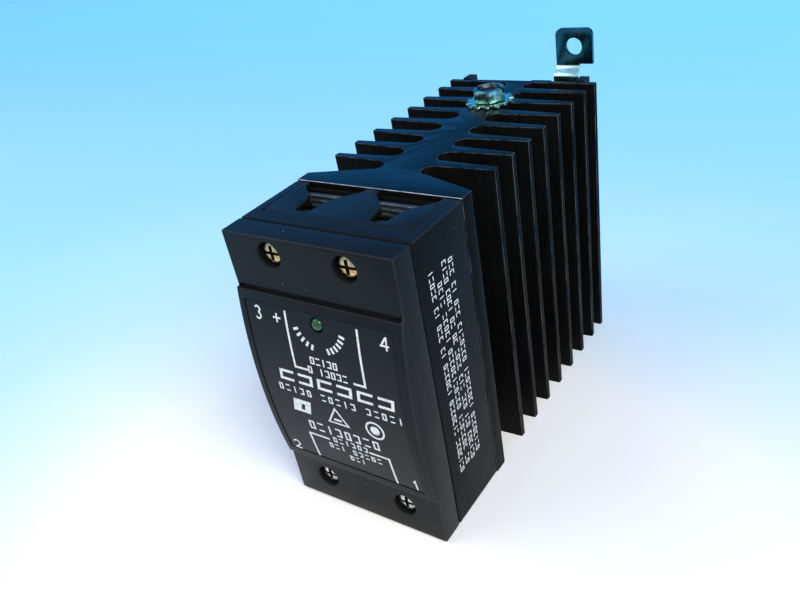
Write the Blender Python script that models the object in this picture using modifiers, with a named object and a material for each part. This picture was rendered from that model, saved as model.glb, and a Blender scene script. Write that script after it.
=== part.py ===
"""Solid state relay with its own finned heat sink, for a 35 mm rail or a panel.

The relay stands on the lower end of its heat sink. X is the width, Y runs from
the front cover back to the rail clip, and Z is up. Dimensions are millimetres,
measured from the plane of the cover's flat ends (Y) and from the lower end of
the heat sink (Z); the helper functions turn them into metres. The empty named
relay carries every piece and puts the origin under the middle of the whole.
"""

import math

import bmesh
import bpy

MM = 0.001

# Envelope
WIDTH = 45.0
HALF_WIDTH = WIDTH / 2
OVERALL_FRONT = -2.9
OVERALL_BACK = 107.4
SINK_HEIGHT = 77.8
HOUSING_BOTTOM = 0.5
HOUSING_TOP = 77.6
HOUSING_MIDDLE = (HOUSING_BOTTOM + HOUSING_TOP) / 2

# Front cover and its arched panel
COVER_BACK = 6.05
COVER_WALL = 1.8
CORNER_ROUND = 0.3
PANEL_HALF = 24.75
PANEL_PROUD = 2.9
PANEL_STEP = 0.75
PANEL_SAG = PANEL_PROUD - PANEL_STEP
PANEL_RADIUS = (PANEL_HALF**2 + PANEL_SAG**2) / (2 * PANEL_SAG)
PANEL_CENTRE_Y = PANEL_RADIUS - PANEL_PROUD
PANEL_STEPS = 16
GROOVE_HEIGHT = 0.8
GROOVE_DEPTH = 0.7
GROOVE_END = 0.6

# Label in its recess
LABEL_LEFT, LABEL_RIGHT = -20.4, 19.6
LABEL_LOW, LABEL_HIGH = 16.8, 61.2
LABEL_DEPTH = 0.15
LABEL_THICK = 0.3
LABEL_RECESS = 0.6
LABEL_MARGIN = 0.2

# Base housing
BASE_FRONT = 6.35
BASE_BACK = 25.7
BASE_WALL = 2.0
REAR_WALL_FRONT = 23.7
CAVITY_LOW, CAVITY_HIGH = 14.7, 66.9
CEILING = 1.2
WINDOW_HALF, WINDOW_LOW, WINDOW_HIGH = 17.5, 22.5, 53.5

# Terminals: number, X of the screw, whether it is an upper (input) terminal
UPPER_SCREW_X, UPPER_SCREW_Z = 10.05, 73.25
LOWER_SCREW_X, LOWER_SCREW_Z = 11.8, 8.4
TERMINALS = (
    (1, LOWER_SCREW_X, False),
    (2, -LOWER_SCREW_X, False),
    (3, -UPPER_SCREW_X, True),
    (4, UPPER_SCREW_X, True),
)
ACCESS_RADIUS = 3.0
COLLAR_RADIUS = 4.2
COLLAR_BACK = 4.6
HEAD_FRONT, HEAD_HEIGHT, HEAD_RADIUS = 1.0, 2.5, 2.75
SHANK_RADIUS, SHANK_END = 1.85, 14.5
CAGE_HALF, CAGE_FRONT, CAGE_BACK = 8.4, 11.2, 24.7
CAGE_SIDE, CAGE_FRONT_WALL, CAGE_REAR_WALL = 1.2, 1.5, 1.2
CAGE_REACH = 4.4
CAGE_CLEARANCE = 0.3
CAGE_END_GAP = 0.8
SERRATION, RIDGE_PITCH = 0.5, 1.3
BAR_FRONT, BAR_THICK, BAR_HALF = 14.8, 1.4, 6.5
TAIL_HALF, STRAP_HALF = 2.5, 5.0
FOOT_BACK, FOOT_TOP = 23.4, 29.0

# Wire guides
GUIDE_HALF, GUIDE_FRONT, GUIDE_THICK = 20.0, 10.8, 0.9
GUIDE_BACK = BASE_BACK - 0.1
# Half of a wire mouth, from its neck to the rear edge: (Y, distance from its middle)
MOUTH = (
    (12.4, 1.5),
    (12.8, 2.0),
    (15.8, 2.4),
    (17.6, 2.8),
    (19.2, 3.6),
    (20.8, 4.9),
    (22.6, 6.8),
    (24.0, 8.0),
    (GUIDE_BACK, 8.3),
)
MOUTH_RIM = 0.7

# Heat sink
SINK_FRONT, SINK_BACK = 26.0, 99.6
FIN_COUNT = 7
FIN_PITCH = 8.37
FIRST_FIN_Y = 41.5
FIN_ROOT, FIN_TIP = 3.5, 1.9
TIP_CHAMFER = 0.4
SPINE_FRONT, SPINE_REAR = 5.5, 2.9
PLATE_EDGE_Y, PLATE_SLOPE = 30.1, 0.347
REAR_PLATE_FRONT = 97.9
ROOT_STEPS = 5

# Ground screw on top of the heat sink
GROUND_Y = 81.0
GROUND_FLATS, GROUND_HEAD = 8.0, 3.0
GROUND_SHANK, GROUND_LENGTH = 2.4, 10.0
WASHER_OUTER, WASHER_ROOT, WASHER_BORE, WASHER_THICK = 6.4, 5.3, 2.7, 0.9
WASHER_TEETH = 14
STACK_GAP = 0.15

# Rail clip
CLIP_FRONT, WEB_BACK, RIB_BACK = 99.9, 101.4, 103.6
RIB_INNER, RIB_OUTER = 16.3, 18.9
HOOK_INNER, HOOK_OUTER = 10.0, 16.0
RAIL_MIDDLE, RAIL_HALF = 39.0, 17.5
LATCH_LEFT, LATCH_RIGHT = 9.2, 16.0
LATCH_FRONT, LATCH_THICK = 101.7, 1.1
TAB_RIGHT, TAB_LOW, TAB_HIGH, TAB_ROUND = 19.7, 81.2, 90.6, 1.8
JOGGLE, JOGGLE_LOW, JOGGLE_HIGH = 2.4, 78.7, 80.5
TAB_HOLE_X, TAB_HOLE_Z, TAB_HOLE_RADIUS = 14.4, 85.8, 2.35
SPRING_X, SPRING_Y, SPRING_LOW, SPRING_HIGH = 4.3, 102.3, 62.4, 74.2
SPRING_MEAN, SPRING_WIRE, SPRING_TURNS = 1.5, 0.25, 6

# Circuit board and power stage
BOARD_FRONT, BOARD_BACK = 12.9, 14.5
BOARD_HALF, BOARD_LOW, BOARD_HIGH = 19.5, 16.5, 64.0
LED_Z, LED_RADIUS = 58.8, 1.5
HOUSING_SCREW_ZS = (18.6, 60.0)
CLIP_SCREW_ZS = (13.0, 50.0)

# Name: colour, roughness, metallic
FINISHES = {
    "black_moulding": ((0.030, 0.034, 0.040), 0.55, 0.0),
    "label_film": ((0.034, 0.038, 0.042), 0.45, 0.0),
    "black_anodised": ((0.012, 0.014, 0.018), 0.42, 0.6),
    "brass_plating": ((0.72, 0.52, 0.25), 0.28, 1.0),
    "zinc_plating": ((0.70, 0.72, 0.70), 0.30, 1.0),
    "tinned_copper": ((0.62, 0.60, 0.58), 0.35, 1.0),
    "spring_steel": ((0.55, 0.56, 0.58), 0.25, 1.0),
    "led_lens": ((0.02, 0.16, 0.06), 0.12, 0.0),
    "circuit_laminate": ((0.05, 0.19, 0.08), 0.50, 0.0),
    "component_black": ((0.02, 0.02, 0.02), 0.45, 0.0),
    "resistor_ceramic": ((0.46, 0.40, 0.30), 0.60, 0.0),
    "capacitor_film": ((0.45, 0.12, 0.06), 0.35, 0.0),
    "varistor_coat": ((0.06, 0.16, 0.38), 0.40, 0.0),
    "alumina": ((0.85, 0.85, 0.82), 0.55, 0.0),
    "silicon": ((0.20, 0.21, 0.24), 0.20, 0.4),
    "thermal_film": ((0.52, 0.52, 0.55), 0.80, 0.0),
}


# ---------------------------------------------------------------- helpers


def clear_scene():
    for thing in list(bpy.data.objects):
        bpy.data.objects.remove(thing, do_unlink=True)


def add_collection(name):
    collection = bpy.data.collections.new(name)
    bpy.context.scene.collection.children.link(collection)
    return collection


def add_material(name, colour, roughness, metallic):
    material = bpy.data.materials.new(name)
    material.use_nodes = True
    shader = material.node_tree.nodes["Principled BSDF"]
    shader.inputs["Base Color"].default_value = (*colour, 1.0)
    shader.inputs["Roughness"].default_value = roughness
    shader.inputs["Metallic"].default_value = metallic
    material.diffuse_color = (*colour, 1.0)
    return material


clear_scene()
parts = add_collection("solid_state_relay")
cutters = add_collection("cutters")
materials = {name: add_material(name, *finish) for name, finish in FINISHES.items()}
relay = bpy.data.objects.new("relay", None)
parts.objects.link(relay)
relay.location = (0.0, -(OVERALL_FRONT + OVERALL_BACK) / 2 * MM, 0.0)


def place(name, mesh, at=(0.0, 0.0, 0.0), finish=None):
    """A new object at a place in millimetres; one without a finish is a cutter."""
    thing = bpy.data.objects.new(name, mesh)
    thing.location = [value * MM for value in at]
    thing.parent = relay
    if finish:
        parts.objects.link(thing)
        mesh.materials.append(materials[finish])
    else:
        cutters.objects.link(thing)
        thing.hide_render = True
        thing.display_type = "WIRE"
    return thing


def box(name, x, y, z, finish=None, at=(0.0, 0.0, 0.0), rounding=0.0):
    """A block between two X, two Y and two Z values."""
    mesh = bpy.data.meshes.new(name)
    shape = bmesh.new()
    bmesh.ops.create_cube(shape, size=1.0)
    for vertex in shape.verts:
        for axis, (low, high) in enumerate((x, y, z)):
            vertex.co[axis] = (low if vertex.co[axis] < 0 else high) * MM
    shape.to_mesh(mesh)
    shape.free()
    thing = place(name, mesh, at, finish)
    if rounding:
        bevel = thing.modifiers.new("rounded edges", "BEVEL")
        bevel.width = rounding * MM
        bevel.segments = 2
    return thing


def prism(name, loops, along, span, finish=None, at=(0.0, 0.0, 0.0)):
    """Flat outlines drawn out along one axis; an outline inside another is a hole.

    The outline's two coordinates are the axes left over, in X, Y, Z order.
    """
    curve = bpy.data.curves.new(name, "CURVE")
    curve.dimensions = "2D"
    curve.fill_mode = "BOTH"
    curve.extrude = (span[1] - span[0]) / 2 * MM
    for loop in loops:
        spline = curve.splines.new("POLY")
        spline.points.add(len(loop) - 1)
        for point, (u, v) in zip(spline.points, loop):
            point.co = (u * MM, v * MM, 0.0, 1.0)
        spline.use_cyclic_u = True
    drawn = bpy.data.objects.new(name + "_outline", curve)
    cutters.objects.link(drawn)
    graph = bpy.context.evaluated_depsgraph_get()
    mesh = bpy.data.meshes.new_from_object(drawn.evaluated_get(graph))
    mesh.name = name
    bpy.data.objects.remove(drawn, do_unlink=True)
    shape = bmesh.new()
    shape.from_mesh(mesh)
    bmesh.ops.remove_doubles(shape, verts=shape.verts, dist=1e-7)
    middle = (span[0] + span[1]) / 2 * MM
    for vertex in shape.verts:
        u, v, w = vertex.co
        w += middle
        vertex.co = {"X": (w, u, v), "Y": (u, w, v), "Z": (u, v, w)}[along]
    bmesh.ops.recalc_face_normals(shape, faces=shape.faces)
    shape.to_mesh(mesh)
    shape.free()
    mesh.materials.clear()
    mesh.shade_smooth()
    mesh.set_sharp_from_angle(angle=math.radians(30))
    return place(name, mesh, at, finish)


def turned(name, profile, finish=None, at=(0.0, 0.0, 0.0), facing="Z", steps=24):
    """A profile of (radius, height), top to bottom, turned about its own axis."""
    mesh = bpy.data.meshes.new(name)
    shape = bmesh.new()
    ring = [shape.verts.new((radius * MM, 0.0, height * MM)) for radius, height in profile]
    for first, second in zip(ring, ring[1:]):
        shape.edges.new((first, second))
    shape.to_mesh(mesh)
    shape.free()
    thing = place(name, mesh, at, finish)
    screw = thing.modifiers.new("turned", "SCREW")
    screw.steps = steps
    screw.render_steps = steps
    screw.use_merge_vertices = True
    screw.merge_threshold = 1e-6
    screw.use_smooth_shade = True
    thing.rotation_euler = {
        "Z": (0.0, 0.0, 0.0),
        "-Y": (math.pi / 2, 0.0, 0.0),
        "+Y": (-math.pi / 2, 0.0, 0.0),
        "X": (0.0, math.pi / 2, 0.0),
    }[facing]
    return thing


def rod(name, radius, low, high, finish=None, at=(0.0, 0.0, 0.0), facing="Z", steps=24):
    """A plain round bar or, with no finish, a drill."""
    return turned(name, [(0, high), (radius, high), (radius, low), (0, low)], finish, at, facing, steps)


def combine(target, others, operation):
    for other in others:
        modifier = target.modifiers.new(other.name, "BOOLEAN")
        modifier.operation = operation
        modifier.object = other
        modifier.solver = "EXACT"
    return target


def cut(target, *others):
    return combine(target, others, "DIFFERENCE")


def join(target, *others):
    return combine(target, others, "UNION")


def arc(centre, radius, start, end, steps):
    """Points on a circle, with both ends."""
    points = []
    for step in range(steps + 1):
        angle = math.radians(start + (end - start) * step / steps)
        points.append((centre[0] + radius * math.cos(angle), centre[1] + radius * math.sin(angle)))
    return points


def rectangle(x, y):
    return [(x[0], y[0]), (x[1], y[0]), (x[1], y[1]), (x[0], y[1])]


def panel_y(z, inset=0.0):
    """Y of the cover's arched panel, or of a surface that far inside it."""
    return PANEL_CENTRE_Y - math.sqrt((PANEL_RADIUS - inset) ** 2 - (z - HOUSING_MIDDLE) ** 2)


def panel_arc(low, high, inset=0.0):
    """The panel's (Y, Z) points from one height to another."""
    heights = [low + (high - low) * step / PANEL_STEPS for step in range(PANEL_STEPS + 1)]
    return [(panel_y(z, inset), z) for z in heights]


# ---------------------------------------------------------------- housing


def front_cover():
    low, high = HOUSING_MIDDLE - PANEL_HALF, HOUSING_MIDDLE + PANEL_HALF
    outside = [(COVER_BACK, HOUSING_BOTTOM), (0.0, HOUSING_BOTTOM), (0.0, low)]
    outside += panel_arc(low, high)
    outside += [(0.0, high), (0.0, HOUSING_TOP), (COVER_BACK, HOUSING_TOP)]
    cover = prism("front_cover", [outside], "X", (-HALF_WIDTH, HALF_WIDTH), "black_moulding")
    bevel = cover.modifiers.new("rounded edges", "BEVEL")
    bevel.width = CORNER_ROUND * MM
    bevel.segments = 1
    bevel.angle_limit = math.radians(60)

    inner_low, inner_high = HOUSING_BOTTOM + COVER_WALL, HOUSING_TOP - COVER_WALL
    hollow = [(COVER_BACK + 1, inner_low), (COVER_WALL, inner_low), (COVER_WALL, low + COVER_WALL)]
    hollow += panel_arc(low + COVER_WALL, high - COVER_WALL, COVER_WALL + 0.2)
    hollow += [(COVER_WALL, high - COVER_WALL), (COVER_WALL, inner_high), (COVER_BACK + 1, inner_high)]
    half = HALF_WIDTH - COVER_WALL
    cut(cover, prism("cover_hollow", [hollow], "X", (-half, half)))

    half = HALF_WIDTH - GROOVE_END
    groove = box("cover_groove", (-half, half), (-3, GROOVE_DEPTH), (high - 0.1, high + GROOVE_HEIGHT))
    cut(cover, groove)

    recess = panel_arc(LABEL_LOW - LABEL_MARGIN, LABEL_HIGH + LABEL_MARGIN, LABEL_RECESS)
    recess += [(OVERALL_FRONT - 2, recess[-1][1]), (OVERALL_FRONT - 2, recess[0][1])]
    span = (LABEL_LEFT - LABEL_MARGIN, LABEL_RIGHT + LABEL_MARGIN)
    cut(cover, prism("label_recess", [recess], "X", span))
    cut(cover, rod("led_hole", LED_RADIUS + 0.25, -4, 6, at=(0, 0, LED_Z), facing="+Y", steps=20))

    for number, x, upper in TERMINALS:
        z = UPPER_SCREW_Z if upper else LOWER_SCREW_Z
        collar = rod(f"collar_{number}", COLLAR_RADIUS, 0.9, COLLAR_BACK, at=(x, 0, z), facing="+Y")
        join(cover, collar)
    for number, x, upper in TERMINALS:
        z = UPPER_SCREW_Z if upper else LOWER_SCREW_Z
        cut(cover, rod(f"access_{number}", ACCESS_RADIUS, -1, 8, at=(x, 0, z), facing="+Y"))
    return cover


def front_label():
    outline = panel_arc(LABEL_LOW, LABEL_HIGH, LABEL_DEPTH)
    outline += reversed(panel_arc(LABEL_LOW, LABEL_HIGH, LABEL_DEPTH + LABEL_THICK))
    label = prism("front_label", [outline], "X", (LABEL_LEFT, LABEL_RIGHT), "label_film")
    return cut(label, rod("label_led_hole", LED_RADIUS + 0.3, -4, 6, at=(0, 0, LED_Z), facing="+Y", steps=20))


def terminal_pocket(number, x, upper):
    """The space that a clamp cage slides in, closed to the outside by a wire guide."""
    outer = HOUSING_TOP - CEILING if upper else HOUSING_BOTTOM + CEILING
    z = UPPER_SCREW_Z - CAGE_REACH - 0.4 if upper else LOWER_SCREW_Z + CAGE_REACH + 0.4
    half = CAGE_HALF + CAGE_CLEARANCE
    span = (x - half, x + half)
    return box(f"pocket_{number}", span, (BASE_FRONT - 1, CAGE_BACK + CAGE_CLEARANCE), sorted((z, outer)))


def base_housing():
    base = box(
        "base_housing",
        (-HALF_WIDTH, HALF_WIDTH),
        (BASE_FRONT, BASE_BACK),
        (HOUSING_BOTTOM, HOUSING_TOP),
        "black_moulding",
        rounding=CORNER_ROUND,
    )
    half = HALF_WIDTH - BASE_WALL
    cavity = (CAVITY_LOW, CAVITY_HIGH)
    cut(base, box("cavity", (-half, half), (BASE_FRONT - 1, REAR_WALL_FRONT), cavity))
    window = (WINDOW_LOW, WINDOW_HIGH)
    cut(base, box("power_window", (-WINDOW_HALF, WINDOW_HALF), (REAR_WALL_FRONT - 1, BASE_BACK + 1), window))
    for number, x, upper in TERMINALS:
        cut(base, terminal_pocket(number, x, upper))
        slot = (TAIL_HALF if upper else STRAP_HALF) + 0.4
        heights = (CAVITY_HIGH - 1, CAVITY_HIGH + 3) if upper else (CAVITY_LOW - 3, CAVITY_LOW + 1)
        depth = (BAR_FRONT - 0.3, BAR_FRONT + BAR_THICK + 0.3)
        cut(base, box(f"bar_slot_{number}", (x - slot, x + slot), depth, heights))
    half = GUIDE_HALF + 0.2
    rim = CEILING + 0.01
    for side, heights in (
        ("top", (HOUSING_TOP - rim, HOUSING_TOP + 1)),
        ("bottom", (HOUSING_BOTTOM - 1, HOUSING_BOTTOM + rim)),
    ):
        cut(base, box(f"guide_recess_{side}", (-half, half), (GUIDE_FRONT - 0.2, BASE_BACK + 1), heights))
    for place_z in HOUSING_SCREW_ZS:
        cut(base, rod(f"base_hole_{place_z:.0f}", 2.1, 20, 30, at=(0, 0, place_z), facing="+Y", steps=16))
    return base


def wire_guide(name, upper):
    """A thin plate over two terminals with a flared wire mouth over each."""
    corner = 0.8
    outline = [(GUIDE_HALF, GUIDE_BACK)]
    for x in sorted((x for _, x, is_upper in TERMINALS if is_upper == upper), reverse=True):
        widest = GUIDE_HALF - MOUTH_RIM - abs(x)
        outline += [(x + min(half, widest), y) for y, half in reversed(MOUTH)]
        outline += [(x - min(half, widest), y) for y, half in MOUTH]
    outline += [(-GUIDE_HALF, GUIDE_BACK), (-GUIDE_HALF, GUIDE_FRONT + corner)]
    outline += [(-GUIDE_HALF + corner, GUIDE_FRONT), (GUIDE_HALF - corner, GUIDE_FRONT)]
    outline += [(GUIDE_HALF, GUIDE_FRONT + corner)]
    span = (HOUSING_TOP - GUIDE_THICK, HOUSING_TOP) if upper else (HOUSING_BOTTOM, HOUSING_BOTTOM + GUIDE_THICK)
    return prism(name, [outline], "Z", span, "black_moulding")


# ---------------------------------------------------------------- terminals


def terminal_screw(number, x, z, finish):
    """Fillister screw with a slot and a cross, its origin on its axis."""
    top, bottom = -HEAD_FRONT, -HEAD_FRONT - HEAD_HEIGHT
    profile = [(0, top), (HEAD_RADIUS - 0.7, top - 0.05), (HEAD_RADIUS, top - 0.6), (HEAD_RADIUS, bottom)]
    profile += [(SHANK_RADIUS, bottom), (SHANK_RADIUS, -SHANK_END + 0.7), (SHANK_RADIUS - 0.6, -SHANK_END)]
    profile += [(0, -SHANK_END)]
    screw = turned(f"terminal_screw_{number}", profile, finish, (x, 0, z), "-Y", 20)
    depth = (HEAD_FRONT - 1, HEAD_FRONT + 1.1)
    wide = box(f"slot_{number}", (-4, 4), depth, (-0.4, 0.4), at=(x, 0, z))
    cross = box(f"cross_{number}", (-0.45, 0.45), depth, (-1.7, 1.7), at=(x, 0, z))
    return cut(screw, wide, cross)


def terminal_cage(number, x, z, upper):
    """Rising cage: a rectangular sleeve with a grooved rear wall, threaded on its screw."""
    end = CEILING + CAGE_END_GAP
    outer = HOUSING_TOP - end if upper else HOUSING_BOTTOM + end
    inner = z - CAGE_REACH if upper else z + CAGE_REACH
    heights = sorted((outer - z, inner - z))
    ring = rectangle((-CAGE_HALF, CAGE_HALF), (CAGE_FRONT, CAGE_BACK))
    opening = rectangle(
        (-CAGE_HALF + CAGE_SIDE, CAGE_HALF - CAGE_SIDE),
        (CAGE_FRONT + CAGE_FRONT_WALL, CAGE_BACK - CAGE_REAR_WALL),
    )
    cage = prism(f"terminal_cage_{number}", [ring, opening], "Z", heights, "tinned_copper", (x, 0, z))
    face = CAGE_BACK - CAGE_REAR_WALL
    turn = -1 if upper else 1
    for index in range(3):
        start = outer - z + turn * (0.6 + RIDGE_PITCH * index)
        groove = sorted((start, start + turn * RIDGE_PITCH / 2))
        half = CAGE_HALF - CAGE_SIDE - 0.2
        name = f"cage_groove_{number}_{index}"
        cut(cage, box(name, (-half, half), (face - 1, face + SERRATION), groove, at=(x, 0, z)))
    bore = rod(f"cage_bore_{number}", SHANK_RADIUS + 0.15, 10, 14, at=(x, 0, z), facing="+Y", steps=20)
    return cut(cage, bore)


def terminal_bar(number, x, upper):
    """Current bar through the cage: to the board for an input, to the power stage for an output."""
    back = BAR_FRONT + BAR_THICK
    if upper:
        high = HOUSING_TOP - CEILING - 0.6
        shoulder = UPPER_SCREW_Z - CAGE_REACH
        outline = [(-BAR_HALF, shoulder), (-TAIL_HALF, shoulder), (-TAIL_HALF, BOARD_HIGH - 4)]
        outline += [(-u, v) for u, v in reversed(outline)]
        outline += [(BAR_HALF, high), (-BAR_HALF, high)]
        return prism(f"terminal_bar_{number}", [outline], "Y", (BAR_FRONT, back), "tinned_copper", (x, 0, 0))
    low = HOUSING_BOTTOM + CEILING + 0.6
    knee = WINDOW_LOW - 1.6
    outline = [(BAR_FRONT, low), (back, low), (back, knee), (FOOT_BACK, knee), (FOOT_BACK, FOOT_TOP)]
    outline += [(FOOT_BACK - BAR_THICK, FOOT_TOP), (FOOT_BACK - BAR_THICK, knee + BAR_THICK)]
    outline += [(BAR_FRONT, knee + BAR_THICK)]
    name = f"terminal_bar_{number}"
    bar = prism(name, [outline], "X", (-STRAP_HALF, STRAP_HALF), "tinned_copper", (x, 0, 0))
    wing = box(f"bar_wing_{number}", (-BAR_HALF, BAR_HALF), (BAR_FRONT, back), (low, 12.0), at=(x, 0, 0))
    return join(bar, wing)


def terminals():
    for number, x, upper in TERMINALS:
        z = UPPER_SCREW_Z if upper else LOWER_SCREW_Z
        terminal_screw(number, x, z, "brass_plating" if upper else "zinc_plating")
        terminal_cage(number, x, z, upper)
        terminal_bar(number, x, upper)


# ---------------------------------------------------------------- heat sink


def fin_half(x):
    """Half thickness of a fin at a distance from the middle plane."""
    share = (x - SPINE_FRONT) / (HALF_WIDTH - SPINE_FRONT)
    return (FIN_ROOT + (FIN_TIP - FIN_ROOT) * share) / 2


def sink_side():
    """Right-hand outline of the heat sink from its front face to its back."""
    points = [(HALF_WIDTH, SINK_FRONT), (HALF_WIDTH, PLATE_EDGE_Y)]
    for slot in range(FIN_COUNT + 1):
        spine = SPINE_FRONT + (SPINE_REAR - SPINE_FRONT) * slot / FIN_COUNT
        fin_y = FIRST_FIN_Y + FIN_PITCH * slot
        root_x = spine + 2.0
        front = fin_y - FIN_PITCH + fin_half(root_x)
        if slot == 0:
            front = PLATE_EDGE_Y + PLATE_SLOPE * (HALF_WIDTH - root_x)
        back = fin_y - fin_half(root_x) if slot < FIN_COUNT else REAR_PLATE_FRONT
        radius = (back - front) / 2
        points += arc((spine + radius, (front + back) / 2), radius, -90, -270, ROOT_STEPS)
        if slot < FIN_COUNT:
            tip = FIN_TIP / 2
            points += [(HALF_WIDTH - TIP_CHAMFER, fin_y - tip), (HALF_WIDTH, fin_y - tip + TIP_CHAMFER)]
            points += [(HALF_WIDTH, fin_y + tip - TIP_CHAMFER), (HALF_WIDTH - TIP_CHAMFER, fin_y + tip)]
    return points + [(HALF_WIDTH, REAR_PLATE_FRONT + 0.1), (HALF_WIDTH, SINK_BACK)]


def heat_sink():
    side = sink_side()
    outline = side + [(-x, y) for x, y in reversed(side)]
    sink = prism("heat_sink", [outline], "Z", (0, SINK_HEIGHT), "black_anodised")
    at = (0, GROUND_Y, SINK_HEIGHT)
    cut(sink, rod("ground_hole", GROUND_SHANK + 0.2, -GROUND_LENGTH - 2, 1, at=at, steps=16))
    for z in HOUSING_SCREW_ZS:
        cut(sink, rod(f"sink_front_hole_{z:.0f}", 2.1, 20, 36, at=(0, 0, z), facing="+Y", steps=16))
    for z in CLIP_SCREW_ZS:
        cut(sink, rod(f"sink_rear_hole_{z:.0f}", 1.6, 90, 105, at=(0, 0, z), facing="+Y", steps=16))
    return sink


def ground_terminal():
    base = SINK_HEIGHT + STACK_GAP
    teeth = []
    for index in range(WASHER_TEETH * 4):
        angle = 2 * math.pi * index / (WASHER_TEETH * 4)
        radius = WASHER_OUTER if index % 4 < 2 else WASHER_ROOT
        teeth.append((radius * math.cos(angle), radius * math.sin(angle)))
    bore = arc((0, 0), WASHER_BORE, 0, 345, 23)
    at = (0, GROUND_Y, base)
    prism("ground_washer", [teeth, bore], "Z", (0, WASHER_THICK), "zinc_plating", at)

    under = WASHER_THICK + STACK_GAP
    hexagon = arc((0, 0), GROUND_FLATS / math.sqrt(3), 0, 300, 5)
    screw = prism("ground_screw", [hexagon], "Z", (under, under + GROUND_HEAD), "zinc_plating", at)
    shank = [(0, under + 1), (GROUND_SHANK, under + 1), (GROUND_SHANK, 0.6 - GROUND_LENGTH)]
    shank += [(GROUND_SHANK - 0.6, -GROUND_LENGTH), (0, -GROUND_LENGTH)]
    join(screw, turned("ground_shank", shank, at=at, steps=20))
    dish = rod("ground_dish", 2.9, under + GROUND_HEAD - 0.5, under + GROUND_HEAD + 1, at=at, steps=20)
    slot = box("ground_slot", (-6, 6), (-0.6, 0.6), (under + GROUND_HEAD - 1.3, under + GROUND_HEAD + 1), at=at)
    return cut(screw, dish, slot)


# ---------------------------------------------------------------- rail clip


def rail_clip():
    """Black carrier behind the heat sink: two ribs, a web, fixed lower hooks, a latch channel."""
    carrier = box("rail_clip", (-RIB_OUTER, RIB_OUTER), (CLIP_FRONT, WEB_BACK), (3, 76.5), "black_moulding")
    pieces = []
    for side, x in (("left", (-RIB_OUTER, -RIB_INNER)), ("right", (RIB_INNER, RIB_OUTER))):
        pieces.append(box(f"rib_{side}", x, (CLIP_FRONT, RIB_BACK), (1.0, SINK_HEIGHT + 0.2)))
    pieces.append(box("guide_rib", (6.4, LATCH_LEFT - 0.3), (CLIP_FRONT, RIB_BACK), (26, 59.6)))
    lip = (LATCH_FRONT + LATCH_THICK + 0.2, RIB_BACK)
    for index, heights in enumerate(((28, 52), (64, 74))):
        pieces.append(box(f"right_lip_{index}", (15.2, RIB_INNER + 0.5), lip, heights))
    pieces.append(box("left_lip", (8.5, 10.0), lip, (28, 52)))
    low = RAIL_MIDDLE - RAIL_HALF - 0.3
    for side, x in (("left", (-HOOK_OUTER, -HOOK_INNER)), ("right", (HOOK_INNER, HOOK_OUTER))):
        pieces.append(box(f"hook_{side}", x, (WEB_BACK - 0.5, OVERALL_BACK), (low - 4.2, low)))
        pieces.append(box(f"hook_lip_{side}", x, (RIB_BACK + 1.4, OVERALL_BACK), (low - 0.5, low + 2.2)))
    lug = (SPRING_X - 3, SPRING_X + 3)
    pieces.append(box("spring_lug", lug, (CLIP_FRONT, RIB_BACK + 0.5), (SPRING_HIGH + 0.3, SPRING_HIGH + 2.3)))
    join(carrier, *pieces)
    window = (SPRING_X - 2.2, SPRING_X + 2.2)
    cut(carrier, box("spring_window", window, (CLIP_FRONT - 1, WEB_BACK + 0.3), (57, SPRING_HIGH + 0.1)))
    for z in CLIP_SCREW_ZS:
        cut(carrier, rod(f"clip_hole_{z:.0f}", 1.7, 95, 103, at=(0, 0, z), facing="+Y", steps=16))
    return carrier


def rail_latch():
    """Sheet-metal slide: flat strip, rail jaw, spring arm, joggle and pull tab with its hole."""
    front, back = LATCH_FRONT, LATCH_FRONT + LATCH_THICK
    tab_front, tab_back = front + JOGGLE, back + JOGGLE
    strip = [(front, 28.0), (back, 28.0), (back, JOGGLE_LOW - 0.3), (tab_back, JOGGLE_HIGH - 0.3)]
    strip += [(tab_back, TAB_LOW + 1), (tab_front, TAB_LOW + 1), (tab_front, JOGGLE_HIGH), (front, JOGGLE_LOW)]
    at = (LATCH_LEFT, 0, 0)
    width = LATCH_RIGHT - LATCH_LEFT
    latch = prism("rail_latch", [strip], "X", (0, width), "spring_steel", at)
    tab_width = TAB_RIGHT - LATCH_LEFT
    outline = [(0, TAB_LOW), (tab_width, TAB_LOW)]
    outline += arc((tab_width - TAB_ROUND, TAB_HIGH - TAB_ROUND), TAB_ROUND, 0, 90, 5)
    outline += arc((TAB_ROUND, TAB_HIGH - TAB_ROUND), TAB_ROUND, 90, 180, 5)
    hole = arc((TAB_HOLE_X - LATCH_LEFT, TAB_HOLE_Z), TAB_HOLE_RADIUS, 0, 345, 23)
    tab = prism("pull_tab", [outline, hole], "Y", (tab_front, tab_back), at=at)
    rail_top = RAIL_MIDDLE + RAIL_HALF + 0.3
    jaw = [(back - 0.5, rail_top), (105.0, rail_top), (105.0, rail_top - 2.2), (106.1, rail_top - 2.2)]
    jaw += [(106.1, rail_top + 1.1), (back - 0.5, rail_top + 1.1)]
    jaw_piece = prism("rail_jaw", [jaw], "X", (0.9, width - 0.9), at=at)
    arm = box("spring_arm", (SPRING_X - 2 - LATCH_LEFT, 1), (front, back), (60.0, 62.0), at=at)
    return join(latch, tab, jaw_piece, arm)


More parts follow.
